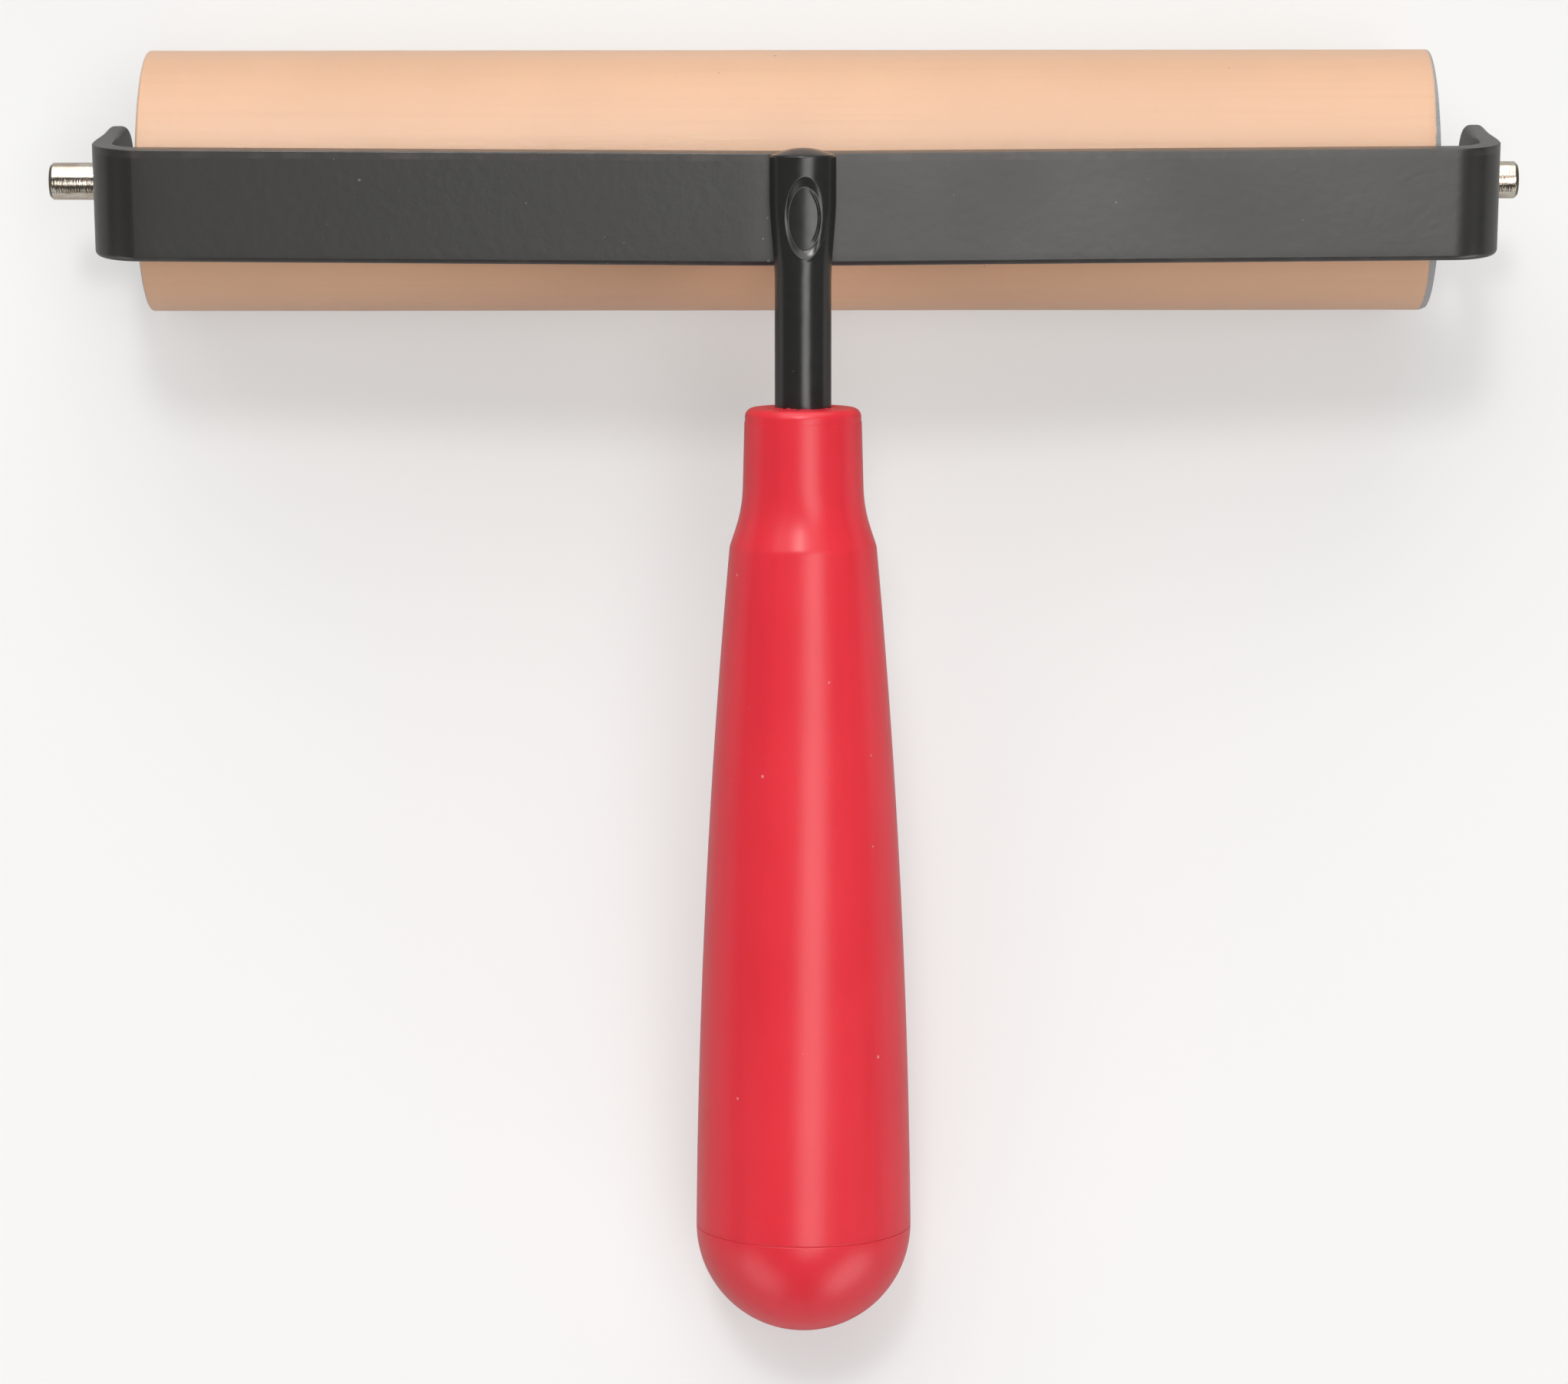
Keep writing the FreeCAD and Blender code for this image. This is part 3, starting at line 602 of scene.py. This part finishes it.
def trimmed(vertices):
    """Gives the evenly drawn bevel of the cut rim its uneven and ragged width."""
    made = vertices.copy()
    widest = Vector((-0.5, -0.866, 0))
    for i, (x, y, z) in enumerate(vertices):
        radius = math.hypot(x, y)
        share = (z - CUT_START) / CUT_DRAWN
        if share < 0 or abs(radius - (ROLLER_RADIUS - share * CUT_SLOPE)) > 0.01:
            continue
        way = Vector((x, y, 0)) / radius
        spread = float(smooth_step(-0.6, 1.1, way.dot(widest)))
        width = CUT_LEAST + (CUT_MOST - CUT_LEAST) * spread
        coarse, fine = noise.noise(way * 28.0), noise.noise(way * 70.0)
        width *= 1 + 0.22 * coarse + 0.15 * fine
        reach = ROLLER_RADIUS - share * CUT_SLOPE * width
        made[i] = (way.x * reach, way.y * reach, HALF_ROLLER - width * (1 - share))
    return made


def roller_core():
    corners = [
        (CORE_BORE, -HALF_ROLLER, SMALL_ROUNDING),
        (CORE_RADIUS, -HALF_ROLLER, SMALL_ROUNDING),
        (CORE_RADIUS, HALF_ROLLER, SMALL_ROUNDING),
        (CORE_BORE, HALF_ROLLER, SMALL_ROUNDING),
    ]
    vertices, faces = skin(turned(subdivided(rounded(corners), longest=20.0), segments=128))
    finish = turned_metal("core_tube", (0.55, 0.55, 0.56), (0.38, 0.38, 0.39), 0.35)
    return new_piece("roller_core_tube", vertices, faces, RIGHT_AXLE, "roller",
                     finish)


def end_plug(side, place, finish):
    """The moulded cup in the core's end: rim, web and the hub that holds the bush."""
    inner, outer = plug_low.x, HALF_ROLLER
    web = outer - PLUG_WALL
    r = SMALL_ROUNDING
    corners = [
        (BUSH_RADIUS, inner, r),
        (HUB_RADIUS, inner, r),
        (HUB_RADIUS, web, r),
        (CORE_BORE - PLUG_WALL, web, r),
        (CORE_BORE - PLUG_WALL, inner, r),
        (CORE_BORE, inner, r),
        (CORE_BORE, outer, r),
        (BOSS_RADIUS, outer, r),
        (BOSS_RADIUS, plug_high.x, r),
        (BUSH_RADIUS, plug_high.x, r / 2),
    ]
    vertices, faces = skin(turned(rounded(corners), segments=128))
    return new_piece(f"{side}_end_plug_cup", vertices, faces, place, "roller",
                     finish)


def bush(side, place, finish):
    """A flanged bush: its flange shows between the plug's boss and the washer."""
    flange = bush_high.x - FLANGE_DEPTH
    r = SMALL_ROUNDING / 2
    corners = [
        (BUSH_BORE, bush_low.x, r),
        (BUSH_RADIUS, bush_low.x, r),
        (BUSH_RADIUS, flange),
        (FLANGE_RADIUS, flange, r),
        (FLANGE_RADIUS, bush_high.x, r),
        (BUSH_BORE, bush_high.x, r),
    ]
    vertices, faces = skin(turned(rounded(corners), segments=96))
    return new_piece(f"{side}_bush_bronze", vertices, faces, place, "roller",
                     finish)


def thrust_washer(side, place, finish):
    r = SMALL_ROUNDING / 2
    corners = [
        (WASHER_BORE, washer_low.x, r),
        (washer_high.z, washer_low.x, r),
        (washer_high.z, washer_high.x, r),
        (WASHER_BORE, washer_high.x, r),
    ]
    vertices, faces = skin(turned(rounded(corners), segments=96))
    return new_piece(f"{side}_thrust_washer_ring", vertices, faces, place, f"{side}_washer",
                     finish)


def axle():
    """The rod through both arms, chamfered at its ends."""
    corners = [
        (0, axle_low.x),
        (AXLE_END_RADIUS - AXLE_CHAMFER, axle_low.x, CHAMFER_ROUNDING),
        (AXLE_END_RADIUS, axle_low.x + AXLE_CHAMFER, CHAMFER_ROUNDING),
        (AXLE_END_RADIUS, yoke_low.x),
        (AXLE_RADIUS, yoke_low.x),
        (AXLE_RADIUS, yoke_high.x),
        (AXLE_END_RADIUS, yoke_high.x),
        (AXLE_END_RADIUS, axle_high.x - AXLE_CHAMFER, CHAMFER_ROUNDING),
        (AXLE_END_RADIUS - AXLE_CHAMFER, axle_high.x, CHAMFER_ROUNDING),
        (0, axle_high.x),
    ]
    profile = subdivided(rounded(corners, closed=False), longest=1.0, closed=False)
    vertices, faces = skin(turned(profile, segments=96), closed_rows=False)
    return new_piece("axle_rod", vertices, faces, RIGHT_AXLE, "frame", axle_steel())


# ---------------------------------------------------------------- the frame

class StrapPath:
    """The strap's outer face in its side view, from one arm's end to the other's."""

    def __init__(self):
        half_flat = STRAP_FLAT / 2
        corners = [
            (-ARM_OUTSIDE, -half_strap),
            (-ARM_OUTSIDE, STRAP_REACH, BEND_RADIUS),
            (-half_flat, strap_top, BOW_BLEND_RADIUS),
            (half_flat, strap_top, BOW_BLEND_RADIUS),
            (ARM_OUTSIDE, STRAP_REACH, BEND_RADIUS),
            (ARM_OUTSIDE, -half_strap),
        ]
        fine = subdivided(rounded(corners, closed=False, step=math.radians(1)), 0.3, closed=False)
        self.points = fine
        steps = np.diff(fine, axis=0)
        lengths = np.linalg.norm(steps, axis=1)
        self.reach = np.concatenate([[0], np.cumsum(lengths)])
        self.length = self.reach[-1]
        self.middles = (self.reach[1:] + self.reach[:-1]) / 2
        self.angles = np.unwrap(np.arctan2(steps[:, 1], steps[:, 0]))

    def place(self, along, across, depth):
        """Points that far along the strap, across it and below its outer face, as xyz."""
        angle = np.interp(along, self.middles, self.angles)
        x = np.interp(along, self.reach, self.points[:, 0]) + depth * np.sin(angle)
        z = np.interp(along, self.reach, self.points[:, 1]) - depth * np.cos(angle)
        return np.stack([x, across, z], axis=1)


def strap_stations(path):
    """Where the plate's mesh has rows between the two arm ends: close together in the bends."""
    stations = [half_strap]
    turn_rate = np.abs(np.gradient(path.angles, path.middles))
    while stations[-1] < path.length - half_strap:
        here = stations[-1]
        near_hole = min(here, path.length - here) < STRAP_WIDTH + 0.1
        bending = np.interp(here + BEND_AHEAD, path.middles, turn_rate) > LEAST_BEND
        stations.append(here + (BEND_ROWS if bending else HOLE_ROWS if near_hole else PLAIN_ROWS))
    stations[-1] = path.length - half_strap
    return np.array(stations)


class Plate:
    """The strap as a flat plate with round ends, a hole in each and rounded edges, then bent."""
    end_steps = 18
    edge_steps = 6
    columns = 12
    hole_rings = 4

    def __init__(self, path):
        self.path = path
        self.stations = strap_stations(path)
        self.points = []
        self.faces = []
        turn = np.linspace(0, math.pi / 2, self.end_steps + 1)[:-1]
        self.side = len(turn) * 2 + len(self.stations)
        self.turn = turn

    def ring(self, turn, inner=False):
        """A closed ring at a turn round the rounded edge: 0 is on a face, a quarter on the side."""
        count = len(self.stations)
        start = np.full(len(self.turn), half_strap)
        base = np.concatenate([start, self.stations, self.path.length - start])
        pull = np.concatenate([-np.cos(self.turn), np.zeros(count), np.cos(self.turn)[::-1]])
        side = np.concatenate([np.sin(self.turn), np.ones(count), np.sin(self.turn)[::-1]])
        base, pull = (np.concatenate([part, part[-2:0:-1]]) for part in (base, pull))
        side = np.concatenate([side, -side[-2:0:-1]])
        edge = (NEAR_EDGE + FAR_EDGE) / 2 + (FAR_EDGE - NEAR_EDGE) / 2 * side
        from_end = np.minimum(base, self.path.length - base)
        on_face = smooth_step(ARM_EDGE_FROM, ARM_EDGE_TO, from_end)
        edge = ARM_EDGE + (edge - ARM_EDGE) * on_face
        reach = half_strap - edge * (1 - math.sin(turn))
        depth = edge * (1 - math.cos(turn))
        return self.add(base + pull * reach, side * reach, STRAP_DEPTH - depth if inner else depth)

    def add(self, along, across, depth):
        first = sum(len(block) for block in self.points)
        self.points.append(np.stack([along, across, depth], axis=1))
        return np.arange(first, first + len(along))

    def band(self, lower, upper):
        """Quads between two closed rings of equal length."""
        for i in range(len(lower)):
            j = (i + 1) % len(lower)
            self.faces.append([lower[i], lower[j], upper[j], upper[i]])

    def at(self, numbers):
        return np.concatenate(self.points)[numbers]

    def face(self, ring, depth):
        """Fills the ring: strips across the plate between two patches that hold the holes."""
        left = ring[:self.side]
        right = np.concatenate([[ring[0]], ring[:self.side - 1:-1], [ring[self.side - 1]]])
        places = self.at(ring)[:self.side]
        first = int(np.searchsorted(places[:, 0], STRAP_WIDTH))
        last = self.side - 1 - first
        rows = []
        share = np.linspace(0, 1, self.columns + 1)[1:-1]
        for i in range(first, last + 1):
            a, b = self.at([left[i], right[i]])
            inner = a + (b - a) * share[:, None]
            middle = self.add(inner[:, 0], inner[:, 1], np.full(len(inner), depth))
            rows.append(np.concatenate([[left[i]], middle, [right[i]]]))
        for upper, lower in zip(rows, rows[1:]):
            for k in range(self.columns):
                self.faces.append([upper[k], upper[k + 1], lower[k + 1], lower[k]])
        holes = []
        for edge_row, side_rows, centre in (
                (rows[0], slice(0, first), half_strap),
                (rows[-1][::-1], slice(last + 1, self.side), self.path.length - half_strap)):
            far_left, far_right = left[side_rows], right[side_rows]
            if centre > half_strap:
                far_left, far_right = far_right[::-1], far_left[::-1]
            loop = np.concatenate([edge_row[1:-1], [edge_row[-1]], far_right[::-1],
                                   far_left[1:], [edge_row[0]]])
            holes.append(self.patch(loop, centre, depth))
        return holes

    def patch(self, loop, centre, depth):
        """Fills the loop around an axle hole with rings that grow from the hole to the loop."""
        outer = self.at(loop)[:, :2]
        arm = outer - (centre, 0)
        hole = np.array([centre, 0]) + arm * (AXLE_RADIUS / np.linalg.norm(arm, axis=1))[:, None]
        previous = loop
        for k in range(self.hole_rings):
            share = (k + 1) / self.hole_rings
            spots = outer + (hole - outer) * share
            here = self.add(spots[:, 0], spots[:, 1], np.full(len(loop), depth))
            self.band(previous, here)
            previous = here
        return previous

    def build(self):
        rings = []
        quarter = np.linspace(0, math.pi / 2, self.edge_steps + 1)
        rings += [self.ring(turn) for turn in quarter]
        rings += [self.ring(turn, inner=True) for turn in quarter[::-1]]
        for lower, upper in zip(rings, rings[1:]):
            self.band(lower, upper)
        outer_holes = self.face(rings[0], 0.0)
        inner_holes = self.face(rings[-1], STRAP_DEPTH)
        for outer_hole, inner_hole in zip(outer_holes, inner_holes):
            self.band(outer_hole, inner_hole)
        flat = np.concatenate(self.points)
        return self.path.place(flat[:, 0], flat[:, 1], flat[:, 2]), self.faces


def yoke():
    """The bent strap, made as it is on the bench: a flat plate, rounded, drilled and bent."""
    vertices, faces = Plate(StrapPath()).build()
    faces = [[int(i) for i in face] for face in faces]
    return new_piece("yoke_strap", vertices, faces, STRAP, "frame", black_coat())


def shank():
    """The rod: flattened and domed tip with an oval pressing mark, splayed run, hidden tang."""
    tip = -STRAP_WIDTH / math.cos(SPLAY)
    columns = 360
    angle = np.linspace(0, 2 * math.pi, columns, endpoint=False)
    sideways, upwards = np.cos(angle), np.sin(angle)
    dome_rings = [0.0, 0.15, 0.3, 0.45, 0.6, 0.72, 0.82, 0.9, 0.95, 0.98]
    rows = [(tip - dome_height(share), share) for share in dome_rings]
    for turn in np.linspace(0, math.pi / 2, 6)[1:]:
        inwards = TIP_RIM * (1 - math.sin(turn))
        rows.append((tip + TIP_RIM * (1 - math.cos(turn)), 1 - inwards / TIP_HALF_WIDTH))
    rows += [(along, 1.0) for along in np.arange(tip + TIP_RIM + 0.1, FINE_ROWS_END, FINE_ROWS)]
    rows += [(along, 1.0) for along in np.arange(FINE_ROWS_END + 0.5, TANG_END, COARSE_ROWS)]
    rows += [(TANG_END - TANG_CHAMFER, 1.0), (TANG_END, 1 - TANG_CHAMFER / ROD_RADIUS), (TANG_END, 0.0)]
    rings = []
    for along, share in rows:
        flattened = 1 - smooth_step(tip + TIP_FULL, TIP_BLEND, along)
        half_width = ROD_RADIUS + (TIP_HALF_WIDTH - ROD_RADIUS) * flattened
        half_height = ROD_RADIUS + (TIP_HALF_HEIGHT - ROD_RADIUS) * flattened
        x = half_width * share * sideways
        y = half_height * share * upwards
        y = pressed(x, y, along)
        strap_face = -(ROD_RADIUS + along * math.sin(SPLAY)) / math.cos(SPLAY)
        if along < 0:
            y = np.maximum(y, strap_face)
        rings.append(np.stack([x, y, np.full(columns, along)], axis=1))
    vertices, faces = skin(np.array(rings), closed_rows=False)
    return new_piece("shank_rod", vertices, faces, SHANK, "frame", shank_coat())


def dome_height(share):
    """How far the tip's end stands out at a share of its radius: a low bell."""
    return TIP_DOME * (1 - share * share) ** 1.1


def swell(value, centre, width):
    """A rounded bump, 1 at the centre and almost 0 two widths away."""
    return np.exp(-((value - centre) / width) ** 2)


def pressed(x, y, along):
    """Sinks the tip's outer side to the pressing mark, which is deeper at its far end."""
    across = (x - MARK_RIGHT) / MARK_HALF_WIDTH
    forward = (along + MARK_AT) / MARK_HALF_LENGTH
    reach = np.hypot(across, forward)
    outer_side = y > 0
    far_cut = MARK_FLOOR_CUT_FAR * np.clip(-forward, 0, 1)
    right_cut = MARK_FLOOR_CUT_RIGHT * np.clip(across, 0, 1)
    floor_end = MARK_FLOOR - far_cut - right_cut
    inside = (1 - np.clip((reach - floor_end) / (1 - floor_end), 0, 1)) * outer_side
    # the angle round the mark is 0 towards the handle and grows to the right
    side = np.arctan2(across, np.full_like(x, forward))
    on_right = smooth_step(0.4, 1.0, side) * (1 - smooth_step(2.3, 2.9, side))
    ridge = RIDGE_HEIGHT * swell(reach, RIDGE_AT, RIDGE_WIDTH) * on_right
    depth = MARK_DEPTH - MARK_TILT * forward + MARK_BOWL * across ** 2
    hollow = TIP_HALF_HEIGHT - depth + ridge
    near_end = smooth_step(-0.5, 0.3, forward)
    lip = LIP_HEIGHT * swell(reach, LIP_AT, LIP_WIDTH) * outer_side * near_end
    return np.where(hollow < y, y + (hollow - y) * inside, y) + lip


# ---------------------------------------------------------------- the handle

def belly(share):
    """A point on the long curve of the handle's side: (radius, along) from shoulder to seam."""
    start = np.array([SHOULDER_RADIUS, SHOULDER_AT])
    end = np.array([BUTT_RADIUS, BUTT_AT])
    chord = end - start
    length = np.linalg.norm(chord)
    outwards = np.array([chord[1], -chord[0]]) / length
    lift = (length * length / 4 - (length * (share - 0.5)) ** 2) / (2 * BELLY_RADIUS)
    return start + chord * share + outwards * lift


def handle_grip():
    """The moulded grip: mouth, straight neck, shoulder, long belly, hollow round a socket."""
    spigot_seat = BUTT_AT - SPIGOT_LENGTH - SPIGOT_GAP
    side = [tuple(belly(share)) for share in np.linspace(0, 1, 41)[1:-1]]
    corners = [
        (MOUTH_RADIUS - MOUTH_STEP, 0, MOUTH_ROUNDING),
        (MOUTH_RADIUS - MOUTH_STEP, MOUTH_LINE - MOUTH_STEP),
        (MOUTH_RADIUS + MOUTH_STEP, MOUTH_LINE),
        (NECK_RADIUS, NECK_LENGTH, NECK_ROUNDING),
        (SHOULDER_RADIUS, SHOULDER_AT, SHOULDER_ROUNDING),
        *side,
        (BUTT_RADIUS, BUTT_AT, SEAM_ROUNDING),
        (SPIGOT_RADIUS, BUTT_AT),
        (SPIGOT_RADIUS, spigot_seat),
        (CAVITY_RADIUS, CAVITY_AT),
        (SOCKET_RADIUS, CAVITY_AT),
        (SOCKET_RADIUS, SOCKET_END),
        (ROD_RADIUS, SOCKET_END),
        (ROD_RADIUS, 0, 0.05),
        (ROD_RADIUS + FLASH_WIDTH, 0),
    ]
    profile = subdivided(rounded(corners, step=math.radians(4)), longest=2.5)
    vertices, faces = skin(turned(profile, segments=192))
    # ragged flash stands up from the mouth where it meets the rod
    flash = np.hypot(vertices[:, 0], vertices[:, 1]) < ROD_RADIUS + FLASH_WIDTH + 0.05
    flash &= vertices[:, 2] < 0.1
    vertices[flash, 2] -= [FLASH_HEIGHT * max(0, noise.noise(Vector(v) * FLASH_GRAIN))
                           for v in vertices[flash]]
    return new_piece("handle_grip_shell", vertices, faces, HANDLE, "frame",
                     red_finish)


def handle_cap():
    """The ball-shaped end cap, with its spigot in the grip and a fine groove at the seam."""
    hollow = SPIGOT_RADIUS - SPIGOT_WALL
    spigot_end = BUTT_AT - SPIGOT_LENGTH
    ball_side = [(BUTT_RADIUS * math.cos(a), BUTT_AT + BUTT_RADIUS * math.sin(a))
                 for a in np.linspace(0, math.pi / 2, 49)[1:]]
    lift = BUTT_RADIUS - CAP_WALL - hollow
    hollow_side = [(hollow * math.cos(a), BUTT_AT + lift + hollow * math.sin(a))
                   for a in np.linspace(math.pi / 2, 0, 25)]
    corners = [
        (SPIGOT_RADIUS, spigot_end, SPIGOT_ROUNDING),
        (SPIGOT_RADIUS, BUTT_AT),
        (BUTT_RADIUS, BUTT_AT, SEAM_ROUNDING),
        *ball_side,
        *hollow_side,
        (hollow, spigot_end, SPIGOT_ROUNDING),
    ]
    profile = rounded(corners, step=math.radians(6))
    vertices, faces = skin(turned(profile, segments=192))
    return new_piece("handle_cap_ball", vertices, faces, HANDLE, "frame",
                     red_finish)


# ---------------------------------------------------------------- the stage

BACKDROP = (0.93, 0.93, 0.925)
TABLE_SIZE = 12.0
FADE_REACH = 1.5
FADE_LEAST = 0.4
TABLE_BOUNCE = (0.50, 0.50, 0.50)
AMBIENT = 0.05
LID_SOFT = 0.08
EYE_PLACE = (-0.4, -159.5, 785.7)
EYE_TURN = (5.634, 0.026, -0.053)
LENS = 114.77


def table():
    """A pale table that fades into the backdrop away from the object."""
    bpy.ops.mesh.primitive_plane_add(size=TABLE_SIZE, location=(0, 0, TABLE * MM))
    floor = bpy.context.object
    floor.name = "table"
    f = Finish("pale_table")
    cloud = f.grain(0.05, detail=4.0)
    white = f.mixed(cloud, (0.90, 0.90, 0.895), (0.92, 0.92, 0.915))
    seen = f.node("ShaderNodeLightPath").outputs["Is Camera Ray"]
    # the light it throws back is kept down, so that the undersides of the handle stay dark
    f.set(Base_Color=f.mixed(seen, TABLE_BOUNCE, white), Roughness=0.8, Specular_IOR_Level=0.1)
    distance = f.node("ShaderNodeVectorMath", {0: f.spot}, operation="LENGTH").outputs["Value"]
    fade = f.maths("MULTIPLY", f.between(distance, 0.0, FADE_REACH, FADE_LEAST, 1.0), seen)
    glow = f.node("ShaderNodeEmission", {"Color": (*BACKDROP, 1), "Strength": 1.0})
    both = f.node("ShaderNodeMixShader", {0: fade, 1: f.surface.outputs[0], 2: glow.outputs[0]})
    output = f.tree.nodes["Material Output"]
    f.tree.links.new(both.outputs[0], output.inputs["Surface"])
    floor.data.materials.append(f.material)


class Studio(Nodes):
    """The light all round: soft panels far away, each one adding to a faint even glow."""

    def __init__(self):
        made = bpy.data.worlds.new("studio")
        bpy.context.scene.world = made
        made.use_nodes = True
        super().__init__(made.node_tree)
        self.tree.nodes.clear()
        self.way = self.node("ShaderNodeTexCoord").outputs["Generated"]
        self.glow = AMBIENT

    def add(self, share, strength):
        self.glow = self.maths("ADD", self.maths("MULTIPLY", share, strength), self.glow)

    def ceiling_panel(self, centre, turn, half_width, half_length, soft, strength):
        """A panel on a ceiling one unit up, its length turned from Y towards X."""
        up = self.maths("MAXIMUM", self.parts(self.way)[2], 0.02)
        flat = self.node("ShaderNodeVectorMath", {0: self.way, 3: self.maths("DIVIDE", 1.0, up)},
                         operation="SCALE").outputs[0]
        inputs = {"Vector": flat, "Location": (*centre, 0), "Rotation": (0, 0, -turn),
                  "Scale": (half_width, half_length, 1)}
        spot = self.parts(self.node("ShaderNodeMapping", inputs, vector_type="TEXTURE").outputs[0])
        shares = [self.between(self.maths("ABSOLUTE", spot[axis]), 1 + soft, 1 - soft)
                  for axis in (0, 1)]
        self.add(self.maths("MULTIPLY", *shares), strength)

    def patch(self, towards, inner, outer, strength, lid=1.0):
        """A round patch of the sky, full inside one angle in degrees, gone outside another, and cut
        off above the lid's height."""
        way = Vector(towards).normalized()
        toward = self.node("ShaderNodeVectorMath", {0: self.way, 1: way}, operation="DOT_PRODUCT")
        outer, inner = (math.cos(math.radians(angle)) for angle in (outer, inner))
        share = self.between(toward.outputs["Value"], outer, inner)
        low = self.between(self.parts(self.way)[2], lid + LID_SOFT, lid)
        self.add(self.maths("MULTIPLY", share, low), strength)

    def finish(self):
        """Camera rays see the plain backdrop and all others see the light."""
        light = self.node("ShaderNodeBackground", {"Color": (1, 0.99, 0.975, 1), "Strength": self.glow})
        plain = self.node("ShaderNodeBackground", {"Color": (*BACKDROP, 1)})
        seen = self.node("ShaderNodeLightPath").outputs["Is Camera Ray"]
        both = self.node("ShaderNodeMixShader", {0: seen, 1: light.outputs[0], 2: plain.outputs[0]})
        self.node("ShaderNodeOutputWorld", {"Surface": both.outputs[0]})


def studio():
    """Two panels overhead, a lamp beyond the roller, and low glows behind it and in front."""
    light = Studio()
    # slanting across the strap, for its sheen and the bright line down the shank and handle
    light.ceiling_panel(centre=(0.24, -0.27), turn=math.radians(35), half_width=0.21,
                        half_length=0.44, soft=0.4, strength=3.5)
    # wide and beyond the roller, for its top
    light.ceiling_panel(centre=(-0.30, 0.95), turn=0.0, half_width=0.8,
                        half_length=0.65, soft=0.35, strength=1.6)
    # a small lamp, for the spot on the handle's shoulder
    light.patch((-0.10, 0.45, 1.0), inner=3, outer=7, strength=26.0)
    # low glows: one for the roller's far side, two for the rubber below the strap
    light.patch((0, 1.0, 0.25), inner=5, outer=45, strength=1.7)
    light.patch((0.65, -0.75, 0.15), inner=8, outer=32, strength=2.3, lid=0.45)
    light.patch((-0.65, -0.75, 0.15), inner=8, outer=32, strength=1.5, lid=0.45)
    light.finish()


def camera():
    """Almost straight above the brayer, a long lens as the catalogue view needs."""
    data = bpy.data.cameras.new("camera")
    data.sensor_width = 36.0
    data.lens = LENS
    data.clip_start = 0.05
    eye = bpy.data.objects.new("camera", data)
    bpy.context.scene.collection.objects.link(eye)
    eye.location = Vector(EYE_PLACE) * MM
    eye.rotation_euler = Euler([math.radians(angle) for angle in EYE_TURN])
    bpy.context.scene.camera = eye


# ---------------------------------------------------------------- build

red_finish = red_plastic()
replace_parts(rubber_sleeve(), "rubber_sleeve")
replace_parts(roller_core(), "roller_core")
plug_finish = moulded_plastic("plug_plastic", (0.50, 0.49, 0.46), (0.36, 0.34, 0.31), 0.45)
bronze_finish = turned_metal("bush_bronze", (0.62, 0.42, 0.22), (0.40, 0.25, 0.12), 0.3)
washer_finish = moulded_plastic("washer_plastic", (0.68, 0.66, 0.60), (0.52, 0.49, 0.43), 0.4)
for side, place in (("left", LEFT_AXLE), ("right", RIGHT_AXLE)):
    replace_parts(end_plug(side, place, plug_finish), f"{side}_end_plug")
    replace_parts(bush(side, place, bronze_finish), f"{side}_bush")
    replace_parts(thrust_washer(side, place, washer_finish), f"{side}_thrust_washer")
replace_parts(axle(), "axle")
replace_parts(yoke(), "yoke")
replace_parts(shank(), "shank")
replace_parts(handle_grip(), "handle_grip")
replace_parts(handle_cap(), "handle_cap")
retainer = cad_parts["tang_retainer"]
retainer.data.materials.clear()
retainer.data.materials.append(
    turned_metal("spring_steel", (0.42, 0.41, 0.40), (0.25, 0.24, 0.24), 0.3))

table()
studio()
camera()
bpy.context.scene.view_settings.view_transform = "Standard"
